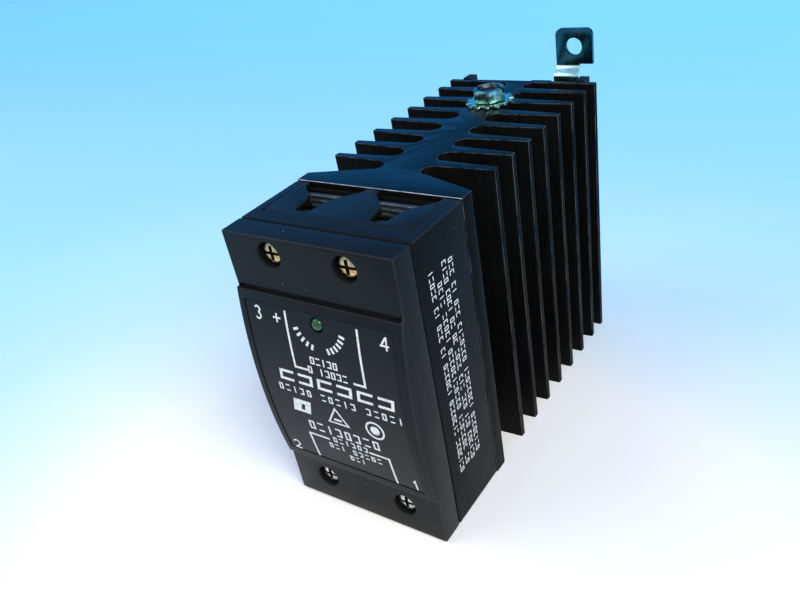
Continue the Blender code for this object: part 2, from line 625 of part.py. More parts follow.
def latch_spring():
    """Compression spring between the latch's arm and the clip's lug."""
    curve = bpy.data.curves.new("latch_spring", "CURVE")
    curve.dimensions = "3D"
    curve.bevel_depth = SPRING_WIRE * MM
    curve.bevel_resolution = 1
    curve.use_fill_caps = True
    steps = 9 * SPRING_TURNS
    rise = SPRING_HIGH - SPRING_LOW - 2 * SPRING_WIRE
    spline = curve.splines.new("POLY")
    spline.points.add(steps)
    for step, point in enumerate(spline.points):
        angle = 2 * math.pi * SPRING_TURNS * step / steps
        x, y = SPRING_MEAN * math.cos(angle), SPRING_MEAN * math.sin(angle)
        point.co = (x * MM, y * MM, (SPRING_WIRE + rise * step / steps) * MM, 1.0)
    return place("latch_spring", curve, (SPRING_X, SPRING_Y, SPRING_LOW), "spring_steel")


def cap_screw(name, seat, radius, length, z, head=(2.7, 1.9)):
    """Pan head screw driven towards the front (length < 0) or the rear (length > 0)."""
    sign = 1 if length > 0 else -1
    facing = "-Y" if length > 0 else "+Y"
    width, height = head
    reach = abs(length)
    profile = [(0, height), (width - 0.6, height), (width, height - 0.6), (width, 0), (radius, 0)]
    profile += [(radius, 0.6 - reach), (radius - 0.5, -reach), (0, -reach)]
    screw = turned(name, profile, "zinc_plating", (0, seat, z), facing, 16)
    top = seat - sign * height
    slot = box(name + "_slot", (-4, 4), sorted((top - sign, top + sign * 0.9)), (-0.4, 0.4), at=(0, 0, z))
    return cut(screw, slot)


# ---------------------------------------------------------------- inside


def power_stage():
    box("thermal_pad", (-16.5, 16.5), (25.2, 25.7), (23.3, 52.7), "thermal_film")
    box("power_substrate", (-16.5, 16.5), (23.9, 24.9), (23.3, 52.7), "alumina", rounding=0.2)
    for side, x in (("left", -8.0), ("right", 8.0)):
        box(f"thyristor_die_{side}", (x - 4.5, x + 4.5), (23.2, 23.6), (34, 43), "silicon")
        rod(f"gate_lead_{side}", 0.4, BOARD_BACK + 0.3, 22.9, "tinned_copper", (x, 0, 38.5), "+Y", 10)


def circuit_board():
    board = box(
        "circuit_board",
        (-BOARD_HALF, BOARD_HALF),
        (BOARD_FRONT, BOARD_BACK),
        (BOARD_LOW, BOARD_HIGH),
        "circuit_laminate",
    )
    for index, (x, z) in enumerate(((-17, 30), (17, 30), (-17, 50), (17, 50))):
        cut(board, rod(f"board_hole_{index}", 1.1, 10, 17, at=(x, 0, z), facing="+Y", steps=12))
    return board


def status_led():
    tip = panel_y(LED_Z) - 0.5
    dome = [(0, -tip)] + [
        (LED_RADIUS * math.cos(math.radians(a)), -tip - 1.1 + 1.1 * math.sin(math.radians(a)))
        for a in (70, 50, 30, 12, 0)
    ]
    profile = dome + [(LED_RADIUS, -2.4), (1.9, -2.4), (1.9, -3.3), (0, -3.3)]
    led = turned("status_led", profile, "led_lens", (0, 0, LED_Z), "-Y", 20)
    reach = (2.9, BOARD_FRONT - 0.3)
    for side, x in (("anode", -1.27), ("cathode", 1.27)):
        join(led, box(f"led_{side}", (x - 0.25, x + 0.25), reach, (-0.25, 0.25), at=(0, 0, LED_Z)))
    return led


def axial_resistor(name, x, z, radius, length, finish):
    """Round-bodied resistor lying across the front of the board."""
    end, wire = length / 2, length / 2 + 3
    profile = [(0, wire), (0.35, wire), (0.35, end), (radius * 0.8, end), (radius, end - 0.6)]
    profile += [(r, -h) for r, h in reversed(profile)]
    return turned(name, profile, finish, (x, BOARD_FRONT - radius - 0.4, z), "X", 14)


def board_components():
    front = BOARD_FRONT - 0.3
    depth = (front - 3.6, front - 0.4)
    body = box("optocoupler", (-4.4, 4.4), depth, (40, 46.4), "component_black", rounding=0.3)
    for index in range(6):
        x = (index % 3 - 1) * 2.54
        heights = (39.4, 41) if index < 3 else (45.4, 47)
        join(body, box(f"opto_leg_{index}", (x - 0.3, x + 0.3), (front - 2, front), heights))
    axial_resistor("input_resistor", -9.0, 53.0, 1.3, 6.5, "resistor_ceramic")
    axial_resistor("snubber_resistor", -8.0, 31.0, 1.9, 10.0, "resistor_ceramic")
    box("snubber_capacitor", (4, 16), (front - 5.0, front), (24, 33.5), "capacitor_film", rounding=0.6)
    rod("surge_varistor", 5.0, 8.6, front, "varistor_coat", (-10, 0, 22.6), "+Y", 24)
    box("trigger_triac", (8, 13), (front - 2.2, front), (50, 55), "component_black", rounding=0.2)


def main():
    front_cover()
    front_label()
    base_housing()
    wire_guide("top_wire_guide", True)
    wire_guide("bottom_wire_guide", False)
    terminals()
    heat_sink()
    ground_terminal()
    rail_clip()
    rail_latch()
    latch_spring()
    for label, z in zip(("lower", "upper"), HOUSING_SCREW_ZS):
        cap_screw(f"housing_screw_{label}", REAR_WALL_FRONT - 0.3, 1.9, 11.0, z)
    for label, z in zip(("lower", "upper"), CLIP_SCREW_ZS):
        cap_screw(f"clip_screw_{label}", WEB_BACK + 0.2, 1.4, -9.0, z, head=(2.5, 1.7))
    power_stage()
    circuit_board()
    status_led()
    board_components()


main()
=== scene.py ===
import math

import bmesh
import bpy
from mathutils import Matrix, Vector

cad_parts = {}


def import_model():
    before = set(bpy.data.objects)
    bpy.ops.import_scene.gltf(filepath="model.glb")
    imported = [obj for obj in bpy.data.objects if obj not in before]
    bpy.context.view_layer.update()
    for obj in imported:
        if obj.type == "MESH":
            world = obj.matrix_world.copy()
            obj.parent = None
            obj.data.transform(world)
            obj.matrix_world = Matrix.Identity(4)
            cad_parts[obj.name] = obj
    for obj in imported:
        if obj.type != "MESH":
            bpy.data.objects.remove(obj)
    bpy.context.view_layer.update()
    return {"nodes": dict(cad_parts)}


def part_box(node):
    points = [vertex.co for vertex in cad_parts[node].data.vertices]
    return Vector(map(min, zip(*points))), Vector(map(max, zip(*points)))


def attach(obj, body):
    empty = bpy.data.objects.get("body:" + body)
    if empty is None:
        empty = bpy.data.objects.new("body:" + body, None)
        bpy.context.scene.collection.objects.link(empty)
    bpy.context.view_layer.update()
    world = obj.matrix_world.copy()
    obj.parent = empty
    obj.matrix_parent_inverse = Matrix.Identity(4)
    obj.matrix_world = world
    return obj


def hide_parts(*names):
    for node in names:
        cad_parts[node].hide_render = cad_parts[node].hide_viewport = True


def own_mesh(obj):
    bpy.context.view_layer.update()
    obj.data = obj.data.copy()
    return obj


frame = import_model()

MM = 0.001
FRAME_BODY = "relay_frame"


# ---------------------------------------------------------------- sizes, from the frame

def span(node, axis):
    """Lowest and highest value of a CAD node along an axis, in millimetres."""
    low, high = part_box(node)
    return low[axis] / MM, high[axis] / MM


X, Y, Z = 0, 1, 2
HALF_WIDTH = span("front_cover", X)[1]
HOUSING_BOTTOM, HOUSING_TOP = span("front_cover", Z)
HOUSING_MIDDLE = (HOUSING_BOTTOM + HOUSING_TOP) / 2
PANEL_PROUD = 2.9
PANEL_STEP = 0.75
PANEL_HALF = 24.75
FRONT = span("front_cover", Y)[0] + PANEL_PROUD
COVER_BACK = span("front_cover", Y)[1]
PANEL_SAG = PANEL_PROUD - PANEL_STEP
PANEL_RADIUS = (PANEL_HALF**2 + PANEL_SAG**2) / (2 * PANEL_SAG)
PANEL_CENTRE_Y = FRONT + PANEL_RADIUS - PANEL_PROUD
COVER_WALL = 1.8
CORNER_ROUND = 0.3
BASE_WALL, REAR_WALL_FRONT = 2.0, 23.7
CAVITY_LOW, CAVITY_HIGH, CEILING = 14.7, 66.9, 1.2
WINDOW_HALF, WINDOW_LOW, WINDOW_HIGH = 17.5, 22.5, 53.5
LABEL_DEPTH, LABEL_THICK, LABEL_RECESS, LABEL_MARGIN = 0.15, 0.3, 0.6, 0.2
ACCESS_RADIUS, ACCESS_CHAMFER, COLLAR_RADIUS, COLLAR_BACK = 3.0, 0.25, 4.2, 4.6
LED_RADIUS = 1.5
HOUSING_HOLE_HEIGHTS, HOUSING_HOLE_RADIUS = (18.6, 60.0), 2.1
CLIP_HOLE_HEIGHTS, CLIP_HOLE_RADIUS = (13.0, 50.0), 1.6
JOINT_LINE = 0.32    # depth of the dark line painted where cover and base meet
SCREWS = {number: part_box(f"terminal_screw_{number}") for number in (1, 2, 3, 4)}
UPPER = (3, 4)
SINK_FRONT, SINK_BACK = span("heat_sink", Y)
SINK_HEIGHT = span("heat_sink", Z)[1]


def screw_axis(number):
    """X and Z of a terminal screw, in millimetres."""
    low, high = SCREWS[number]
    return (low.x + high.x) / 2 / MM, (low.z + high.z) / 2 / MM


def panel_y(z, inset=0.0):
    return PANEL_CENTRE_Y - math.sqrt((PANEL_RADIUS - inset) ** 2 - (z - HOUSING_MIDDLE) ** 2)


def panel_arc(low, high, inset=0.0, steps=64):
    heights = [low + (high - low) * step / steps for step in range(steps + 1)]
    return [(panel_y(z, inset), z) for z in heights]


# ---------------------------------------------------------------- materials

class Shader:
    """A Principled material with the few node helpers that the finishes share."""

    def __init__(self, name):
        self.material = bpy.data.materials.new(name)
        self.material.use_nodes = True
        self.tree = self.material.node_tree
        self.principled = self.tree.nodes["Principled BSDF"]
        self.coordinates = self.node("ShaderNodeTexCoord").outputs["Object"]

    def node(self, kind, **settings):
        made = self.tree.nodes.new(kind)
        for key, value in settings.items():
            setattr(made, key, value)
        return made

    def link(self, source, target):
        self.tree.links.new(source, target)

    def set(self, **values):
        for name, value in values.items():
            self.principled.inputs[name.replace("_", " ")].default_value = value
        return self

    def stretched(self, scale):
        mapping = self.node("ShaderNodeMapping")
        mapping.inputs["Scale"].default_value = scale
        self.link(self.coordinates, mapping.inputs["Vector"])
        return mapping.outputs["Vector"]

    def noise(self, scale, detail=3.0, roughness=0.55, stretch=(1, 1, 1), distortion=0.0):
        made = self.node("ShaderNodeTexNoise")
        made.inputs["Scale"].default_value = scale
        made.inputs["Detail"].default_value = detail
        made.inputs["Roughness"].default_value = roughness
        made.inputs["Distortion"].default_value = distortion
        self.link(self.stretched(stretch), made.inputs["Vector"])
        return made.outputs["Fac"]

    def speckle(self, scale, randomness=1.0):
        made = self.node("ShaderNodeTexVoronoi")
        made.inputs["Scale"].default_value = scale
        made.inputs["Randomness"].default_value = randomness
        self.link(self.stretched((1, 1, 1)), made.inputs["Vector"])
        return made.outputs["Distance"]

    def ramp(self, value, stops):
        made = self.node("ShaderNodeValToRGB")
        elements = made.color_ramp.elements
        while len(elements) < len(stops):
            elements.new(0.5)
        for element, (position, colour) in zip(elements, stops):
            element.position = position
            element.color = (*colour, 1.0)
        self.link(value, made.inputs["Fac"])
        return made.outputs["Color"]

    def range(self, value, low, high, start=0.3, end=0.7):
        made = self.node("ShaderNodeMapRange")
        made.inputs["From Min"].default_value = start
        made.inputs["From Max"].default_value = end
        made.inputs["To Min"].default_value = low
        made.inputs["To Max"].default_value = high
        self.link(value, made.inputs["Value"])
        return made.outputs["Result"]

    def blend(self, share, first, second):
        """Mixes two colours; the second may be a plain tuple."""
        made = self.node("ShaderNodeMix", data_type="RGBA")
        self.link(share, made.inputs["Factor"])
        self.link(first, made.inputs[6])
        if isinstance(second, tuple):
            made.inputs[7].default_value = (*second, 1.0)
        else:
            self.link(second, made.inputs[7])
        return made.outputs[2]

    def add(self, first, second, operation="ADD"):
        made = self.node("ShaderNodeMath", operation=operation)
        self.link(first, made.inputs[0])
        self.link(second, made.inputs[1])
        return made.outputs[0]

    def colour(self, output):
        self.link(output, self.principled.inputs["Base Color"])
        return self

    def rough(self, output):
        self.link(output, self.principled.inputs["Roughness"])
        return self

    def bump(self, height, strength, distance):
        made = self.node("ShaderNodeBump")
        made.inputs["Strength"].default_value = strength
        made.inputs["Distance"].default_value = distance
        self.link(height, made.inputs["Height"])
        self.link(made.outputs["Normal"], self.principled.inputs["Normal"])
        return self


def moulded_plastic(name, dark, light, roughness, grain=2600.0, specks=0.0, strength=0.35, gloss=0.14):
    """Injection-moulded plastic: spark-eroded grain, faint clouding and a few pale dust specks."""
    shader = Shader(name).set(Specular_IOR_Level=gloss)
    cloud = shader.noise(90.0, 4.0)
    grained = shader.noise(grain, 2.0, 0.7)
    tint = shader.ramp(cloud, ((0.3, dark), (0.75, light)))
    if specks:
        dust = shader.range(shader.speckle(420.0), 1.0, 0.0, specks, specks + 0.012)
        patches = shader.range(shader.noise(60.0, 2.0), 0.0, 1.0, 0.5, 0.62)
        pale = shader.ramp(cloud, ((0.0, (0.35, 0.37, 0.38)), (1.0, (0.6, 0.62, 0.64))))
        tint = shader.blend(shader.add(dust, patches, "MULTIPLY"), tint, pale)
    shader.colour(tint)
    mixed = shader.add(cloud, grained)
    shader.rough(shader.range(mixed, roughness - 0.06, roughness + 0.08, 0.7, 1.3))
    return shader.bump(grained, strength, 0.00006).material


def anodised(name, dark, light, roughness, stretch, line_scale, strength=0.3, streaks=None, gloss=0.26):
    """Black anodised aluminium with the fine lines that the die or the saw left."""
    shader = Shader(name).set(Specular_IOR_Level=gloss)
    lines = shader.noise(line_scale, 3.0, 0.65, stretch)
    cloud = shader.noise(45.0, 3.0)
    tint = shader.ramp(shader.add(lines, cloud, "MULTIPLY"), ((0.12, dark), (0.42, light)))
    # edge streaks: part wear of the anodising, part painted highlight along the rounded edges
    if streaks:
        wear_and_highlight_mask = shader.range(shader.noise(260.0, 4.0, 0.7, (1, 1, 0.3)), 0.0, 1.0, 0.42, 0.56)
        bare = shader.ramp(lines, ((0.2, streaks), (0.8, tuple(min(1.0, part * 1.6) for part in streaks))))
        tint = shader.blend(wear_and_highlight_mask, tint, bare)
    shader.colour(tint)
    shader.rough(shader.range(lines, roughness - 0.08, roughness + 0.1))
    return shader.bump(lines, strength, 0.00005).material


def plated(name, dark, light, roughness, blotch=420.0, strength=0.15, stretch=(1, 1, 1)):
    """Plated metal with a tint that varies in patches, and fine handling marks; on the screws the strong
    light and dark patches are painted glints.
    """
    shader = Shader(name).set(Metallic=1.0)
    cloud = shader.noise(blotch, 4.0, 0.6)
    marks = shader.noise(2400.0, 3.0, 0.7, stretch)
    shader.colour(shader.ramp(cloud, ((0.32, dark), (0.68, light))))
    shader.rough(shader.range(marks, roughness - 0.08, roughness + 0.14))
    return shader.bump(marks, strength, 0.00004).material


def printed_ink(name, tone):
    """Off-white screen ink, a little thin and broken in places."""
    shader = Shader(name).set(Specular_IOR_Level=0.35)
    thin = shader.noise(1500.0, 4.0, 0.7)
    faded = tuple(part * 0.62 for part in tone)
    shader.colour(shader.ramp(thin, ((0.34, faded), (0.5, tone))))
    shader.rough(shader.range(thin, 0.5, 0.7))
    return shader.bump(thin, 0.1, 0.00002).material


def lens_material():
    """Green-tinted clear epoxy of an unlit lamp."""
    shader = Shader("led_green_epoxy").set(Roughness=0.08, IOR=1.5, Transmission_Weight=0.55)
    swirl = shader.noise(500.0, 2.0)
    shader.colour(shader.ramp(swirl, ((0.3, (0.012, 0.10, 0.035)), (0.7, (0.03, 0.19, 0.06)))))
    return shader.bump(swirl, 0.05, 0.00003).material


def laminate_material():
    """Solder mask with faint copper tracks under it."""
    shader = Shader("solder_mask").set(Specular_IOR_Level=0.5, Roughness=0.35)
    tracks = shader.range(shader.speckle(160.0, 0.3), 0.0, 1.0, 0.42, 0.46)
    plain = shader.ramp(shader.noise(80.0), ((0.3, (0.012, 0.09, 0.03)), (0.7, (0.018, 0.12, 0.04))))
    raised = shader.ramp(shader.noise(80.0), ((0.3, (0.03, 0.17, 0.06)), (0.7, (0.04, 0.2, 0.07))))
    shader.colour(shader.blend(tracks, plain, raised))
    return shader.bump(tracks, 0.2, 0.00003).material


MATERIALS = {
    "cover": moulded_plastic("cover_plastic", (0.0052, 0.0056, 0.0062), (0.0070, 0.0076, 0.0084), 0.42,
                             specks=0.035, gloss=0.115),
    # painted highlight: the rounded edges of the housing and the guide plates take a lighter plastic
    "cover_edge": moulded_plastic("edge_highlight_plastic", (0.010, 0.011, 0.014), (0.019, 0.021, 0.025), 0.38),
    "base": moulded_plastic(
        "base_plastic", (0.0044, 0.0052, 0.0064), (0.0060, 0.0068, 0.0082), 0.40, specks=0.03),
    # painted shade: the base's side faces take a darker, less glossy copy of the base plastic
    "base_side": moulded_plastic(
        "side_shade_plastic", (0.0030, 0.0034, 0.0042), (0.0042, 0.0048, 0.0058), 0.44,
        specks=0.03, gloss=0.055),
    # painted shade: the inside faces of cover and base take a darker plastic than the outside; it also marks
    # the joint between them
    "inside": moulded_plastic("shaded_inside_plastic", (0.003, 0.003, 0.003), (0.005, 0.005, 0.005), 0.6, gloss=0.1),
    "label": moulded_plastic(
        "label_film", (0.0054, 0.0060, 0.0066), (0.0070, 0.0076, 0.0084), 0.36, 5200.0, 0.0, 0.12),
    "clip": moulded_plastic("clip_plastic", (0.005, 0.006, 0.007), (0.009, 0.010, 0.012), 0.48),
    "ink": printed_ink("white_ink", (0.72, 0.73, 0.72)),
    "sink": anodised(
        "anodised_drawn", (0.002, 0.002, 0.002), (0.005, 0.005, 0.005), 0.42, (1, 1, 0.02), 2600.0,
        gloss=0.03),
    # sawn top and bottom faces: real saw lines, with a blue tint painted in for the reflection of the blue
    # surroundings
    "sink_cut": anodised(
        "anodised_sawn_blue_sheen", (0.001, 0.003, 0.006), (0.002, 0.006, 0.010), 0.33, (0.06, 1, 1), 1500.0,
        gloss=0.17),
    # streaked edge finish: part wear, part painted highlight on the fin tips and rounded edges
    "sink_edge": anodised(
        "anodised_edge_wear_and_highlight", (0.002, 0.003, 0.003), (0.006, 0.007, 0.007), 0.36, (1, 1, 0.03), 1800.0,
        streaks=(0.045, 0.047, 0.044), gloss=0.10,
    ),
    "bare": plated("bare_aluminium", (0.40, 0.42, 0.44), (0.95, 0.96, 0.98), 0.52, 300.0),
    # painted glints: the brass and zinc platings swing from dark to near white in small patches
    "brass": plated("yellow_passivate", (0.40, 0.19, 0.05), (1.0, 0.72, 0.36), 0.24, 1300.0),
    # painted shade: dark copies of the screw platings for faces down in the recesses
    "brass_recess": plated("recess_shade_brass", (0.05, 0.025, 0.01), (0.30, 0.16, 0.07), 0.4, 1300.0),
    "zinc": plated("zinc_plate", (0.28, 0.29, 0.27), (0.92, 0.93, 0.90), 0.24, 1300.0),
    "zinc_recess": plated("zinc_recess", (0.02, 0.02, 0.02), (0.10, 0.10, 0.10), 0.4, 1300.0),
    "green_zinc": plated("green_zinc_plate", (0.22, 0.50, 0.42), (0.56, 0.90, 0.80), 0.25, 700.0),
    # painted glints: strong dark and pale patches on the earth screw's faceted head
    "head_zinc": plated("head_zinc_plate", (0.03, 0.13, 0.12), (0.50, 0.78, 0.66), 0.2, 500.0),
    "tin": plated("tin_plate", (0.40, 0.38, 0.36), (0.66, 0.64, 0.62), 0.34),
    # painted shade: the cages get a near-black steel that stands for the shade inside the wire mouths
    "cage": plated("shade_dark_cage_steel", (0.015, 0.014, 0.013), (0.045, 0.043, 0.042), 0.36),
    # painted highlight: lighter steel on the up-facing steps and front faces of the cage's ridged rear wall
    "ledge": plated("ridge_highlight_steel", (0.16, 0.19, 0.21), (0.42, 0.48, 0.52), 0.42),
    # painted shade: the terminal bars get a dark tin that stands for the shade at the back of the wire space
    "bar": plated("shade_dark_tin", (0.05, 0.05, 0.05), (0.12, 0.12, 0.12), 0.45),
    "steel": plated("blued_sheet", (0.016, 0.09, 0.13), (0.04, 0.16, 0.21), 0.24, 260.0, 0.06, (1, 1, 0.05)),
    # painted highlight: a bright, cyan-tinted copy of the latch steel for the bend of the joggle; the spring
    # uses it too
    "bright_steel": plated(
        "bright_bend", (0.50, 0.86, 0.90), (0.66, 0.98, 0.98), 0.24, 260.0, 0.06, (1, 1, 0.05)),
    "lens": lens_material(),
    "laminate": laminate_material(),
}


for key, plastic_name, dark_tone, light_tone, plastic_roughness in (
    ("epoxy", "moulded_epoxy", (0.012, 0.012, 0.012), (0.02, 0.02, 0.02), 0.45),
    ("resistor", "resistor_paint", (0.38, 0.31, 0.2), (0.5, 0.42, 0.3), 0.5),
    ("capacitor", "capacitor_dip", (0.36, 0.08, 0.03), (0.5, 0.13, 0.05), 0.3),
    ("varistor", "varistor_dip", (0.03, 0.1, 0.28), (0.06, 0.16, 0.4), 0.35),
    ("alumina", "alumina_tile", (0.72, 0.72, 0.69), (0.84, 0.84, 0.81), 0.55),
    ("silicon", "passivated_die", (0.1, 0.11, 0.13), (0.16, 0.17, 0.2), 0.25),
    ("pad", "thermal_film", (0.4, 0.4, 0.43), (0.5, 0.5, 0.53), 0.8),
):
    MATERIALS[key] = moulded_plastic(plastic_name, dark_tone, light_tone, plastic_roughness)


# ---------------------------------------------------------------- mesh helpers

scene = bpy.context.scene
cutters = bpy.data.collections.new("cutters")
scene.collection.children.link(cutters)


def place(name, mesh, at, finish, cutter=False):
    thing = bpy.data.objects.new(name, mesh)
    thing.location = [value * MM for value in at]
    if cutter:
        cutters.objects.link(thing)
        return thing
    scene.collection.objects.link(thing)
    mesh.materials.clear()
    for key in finish.split():
        mesh.materials.append(MATERIALS[key])
    return thing


def finished(shape, name, at, finish):
    """A bmesh as an object: with a finish it is a piece, and with none it is a cutter."""
    mesh = bpy.data.meshes.new(name)
    shape.to_mesh(mesh)
    shape.free()
    return place(name, mesh, at, finish or "", cutter=not finish)


def box(name, x, y, z, finish=None, at=(0.0, 0.0, 0.0)):
    shape = bmesh.new()
    bmesh.ops.create_cube(shape, size=1.0)
    for vertex in shape.verts:
        for axis, (low, high) in enumerate((x, y, z)):
            vertex.co[axis] = (low if vertex.co[axis] < 0 else high) * MM
    return finished(shape, name, at, finish)


def evaluated(thing):
    """The mesh of an object with its modifiers or its curve's bevel applied."""
    graph = bpy.context.evaluated_depsgraph_get()
    return bpy.data.meshes.new_from_object(thing.evaluated_get(graph))


def slice_mesh(shape, axis, level):
    """Adds an edge loop where a plane across an axis crosses a bmesh."""
    geometry = list(shape.verts) + list(shape.edges) + list(shape.faces)
    point, normal = [0, 0, 0], [0, 0, 0]
    point[axis], normal[axis] = level * MM, 1
    bmesh.ops.bisect_plane(shape, geom=geometry, plane_co=point, plane_no=normal, dist=1e-7)


def drawn_shape(loops, along, reach):
    """A bmesh of flat outlines drawn out along an axis; an outline inside another is a hole."""
    curve = bpy.data.curves.new("outline", "CURVE")
    curve.dimensions = "2D"
    curve.fill_mode = "BOTH"
    curve.extrude = (reach[1] - reach[0]) / 2 * MM
    for loop in loops:
        spline = curve.splines.new("POLY")
        spline.points.add(len(loop) - 1)
        for point, (u, v) in zip(spline.points, loop):
            point.co = (u * MM, v * MM, 0.0, 1.0)
        spline.use_cyclic_u = True
    drawn = bpy.data.objects.new("outline", curve)
    scene.collection.objects.link(drawn)
    mesh = evaluated(drawn)
    bpy.data.objects.remove(drawn, do_unlink=True)
    shape = bmesh.new()
    shape.from_mesh(mesh)
    bpy.data.meshes.remove(mesh)
    bmesh.ops.remove_doubles(shape, verts=shape.verts, dist=2e-7)
    middle = (reach[0] + reach[1]) / 2 * MM
    for vertex in shape.verts:
        u, v, w = vertex.co
        w += middle
        vertex.co = {"X": (w, u, v), "Y": (u, w, v), "Z": (u, v, w)}[along]
    bmesh.ops.recalc_face_normals(shape, faces=shape.faces)
    bmesh.ops.dissolve_limit(shape, angle_limit=0.002, verts=shape.verts, edges=shape.edges)
    if shape.calc_volume(signed=True) < 0:
        bmesh.ops.reverse_faces(shape, faces=shape.faces)
    for face in shape.faces:
        face.material_index = 0
    return shape


def prism(name, loops, along, reach, finish=None, at=(0.0, 0.0, 0.0)):
    return finished(drawn_shape(loops, along, reach), name, at, finish)


def turned(name, profile, finish=None, at=(0.0, 0.0, 0.0), facing="Z", steps=64):
    """A profile of (radius, height), top to bottom, spun about an axis into a closed solid."""
    shape = bmesh.new()
    ring = [shape.verts.new((radius * MM, 0.0, height * MM)) for radius, height in profile]
    edges = [shape.edges.new(pair) for pair in zip(ring, ring[1:])]
    bmesh.ops.spin(
        shape, geom=ring + edges, cent=(0, 0, 0), axis=(0, 0, 1), angle=2 * math.pi,
        steps=steps, use_merge=True,
    )
    bmesh.ops.remove_doubles(shape, verts=shape.verts, dist=1e-6)
    bmesh.ops.recalc_face_normals(shape, faces=shape.faces)
    quarter = math.pi / 2
    turn = {
        "Z": Matrix.Identity(3),
        "-Y": Matrix.Rotation(quarter, 3, "X"),
        "+Y": Matrix.Rotation(-quarter, 3, "X"),
        "X": Matrix.Rotation(quarter, 3, "Y"),
    }[facing]
    bmesh.ops.rotate(shape, verts=shape.verts, cent=(0, 0, 0), matrix=turn)
    return finished(shape, name, at, finish)


def rod(name, radius, low, high, finish=None, at=(0.0, 0.0, 0.0), facing="Z", steps=64):
    return turned(name, [(0, high), (radius, high), (radius, low), (0, low)], finish, at, facing, steps)


def combine(target, others, operation):
    """Applies booleans at once and drops the shapes they used."""
    for other in others:
        modifier = target.modifiers.new("boolean", "BOOLEAN")
        modifier.operation = operation
        modifier.object = other
        modifier.solver = "EXACT"
    bake(target)
    for other in others:
        bpy.data.objects.remove(other, do_unlink=True)
    return target


def cut(target, *others):
    return combine(target, others, "DIFFERENCE")


def join(target, *others):
    return combine(target, others, "UNION")


def bake(thing):
    """Applies every modifier."""
    mesh = evaluated(thing)
    thing.modifiers.clear()
    thing.data = mesh
    return thing


def round_edges(thing, width, segments=2, angle=35.0, edge_slot=-1):
    """Rounds a piece's sharp edges; edge_slot names the material slot of the rounding."""
    modifier = thing.modifiers.new("round", "BEVEL")
    modifier.width = width * MM
    modifier.segments = segments
    modifier.limit_method = "ANGLE"
    modifier.angle_limit = math.radians(angle)
    modifier.material = edge_slot
    modifier.use_clamp_overlap = True
    modifier.miter_outer = "MITER_SHARP"
    return bake(thing)


def smooth(thing, angle=38.0):
    thing.data.shade_smooth()
    thing.data.set_sharp_from_angle(angle=math.radians(angle))
    return thing


def piece(thing, body, slot, *replaced):
    smooth(thing)
    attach(thing, body)
    if replaced:
        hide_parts(*replaced)
    return thing


def arc(centre, radius, start, end, steps):
    points = []
    for step in range(steps + 1):
        angle = math.radians(start + (end - start) * step / steps)
        points.append((centre[0] + radius * math.cos(angle), centre[1] + radius * math.sin(angle)))
    return points


def rectangle(x, y):
    return [(x[0], y[0]), (x[1], y[0]), (x[1], y[1]), (x[0], y[1])]


def paint(thing, slot, chosen):
    """Gives a material slot to every face that a test on its centre and normal picks."""
    for face in thing.data.polygons:
        if chosen(face.center / MM + thing.location / MM, face.normal):
            face.material_index = slot


# ---------------------------------------------------------------- housing

def access_profile(depth):
    """Screw access hole with a small chamfer at its mouth, from the front inwards."""
    mouth = ACCESS_RADIUS + ACCESS_CHAMFER
    hole = [(0, 2), (mouth, 2), (mouth, 0.0), (ACCESS_RADIUS, -ACCESS_CHAMFER)]
    return hole + [(ACCESS_RADIUS, -depth), (0, -depth)]


def front_cover():
    low, high = HOUSING_MIDDLE - PANEL_HALF, HOUSING_MIDDLE + PANEL_HALF
    outside = [(COVER_BACK, HOUSING_BOTTOM), (FRONT, HOUSING_BOTTOM), (FRONT, low)]
    outside += panel_arc(low, high)
    outside += [(FRONT, high), (FRONT, HOUSING_TOP), (COVER_BACK, HOUSING_TOP)]
    cover = prism("cover_shell", [outside], "X", (-HALF_WIDTH, HALF_WIDTH), "cover cover_edge inside")
    # the rounding takes slot 1, the painted edge highlight
    round_edges(cover, CORNER_ROUND, 3, 50.0, 1)

    inner_low, inner_high = HOUSING_BOTTOM + COVER_WALL, HOUSING_TOP - COVER_WALL
    wall = FRONT + COVER_WALL
    hollow = [(COVER_BACK + 1, inner_low), (wall, inner_low), (wall, low + COVER_WALL)]
    hollow += panel_arc(low + COVER_WALL, high - COVER_WALL, COVER_WALL + 0.2)
    hollow += [(wall, high - COVER_WALL), (wall, inner_high), (COVER_BACK + 1, inner_high)]
    half = HALF_WIDTH - COVER_WALL
    cut(cover, prism("hollow", [hollow], "X", (-half, half)))

    half = HALF_WIDTH - 0.6
    groove = [(FRONT - 3, high - 0.1), (FRONT + 0.55, high - 0.1), (FRONT + 0.7, high + 0.05)]
    groove += [(FRONT + 0.7, high + 0.65), (FRONT + 0.55, high + 0.8), (FRONT - 0.02, high + 0.85)]
    groove += [(FRONT - 3, high + 1.3)]
    cut(cover, prism("groove", [groove], "X", (-half, half)))

    (left, right), (bottom, top) = span("front_label", X), span("front_label", Z)
    bottom, top = bottom - LABEL_MARGIN, top + LABEL_MARGIN
    recess = panel_arc(bottom, top, LABEL_RECESS) + [(FRONT - 6, top), (FRONT - 6, bottom)]
    cut(cover, prism("recess", [recess], "X", (left - LABEL_MARGIN, right + LABEL_MARGIN)))
    cut(cover, rod("led_bore", LED_RADIUS + 0.25, -4, 6, at=(0, FRONT, led_z()), facing="+Y"))

    for number in SCREWS:
        x, z = screw_axis(number)
        join(cover, rod("collar", COLLAR_RADIUS, 0.9, COLLAR_BACK, at=(x, FRONT, z), facing="+Y"))
    for number in SCREWS:
        x, z = screw_axis(number)
        cut(cover, turned("access", access_profile(8), at=(x, FRONT, z), facing="-Y"))
    paint(cover, 2, lambda c, n: c.y > COVER_BACK - JOINT_LINE and n.y > 0.2)
    # painted shade on the cover's inside faces
    inside = FRONT + 0.9
    paint(cover, 2, lambda c, n: c.y > inside and abs(c.x) < HALF_WIDTH - 0.5 and abs(n.z) < 0.9)
    piece(cover, FRAME_BODY, "housing", "front_cover")


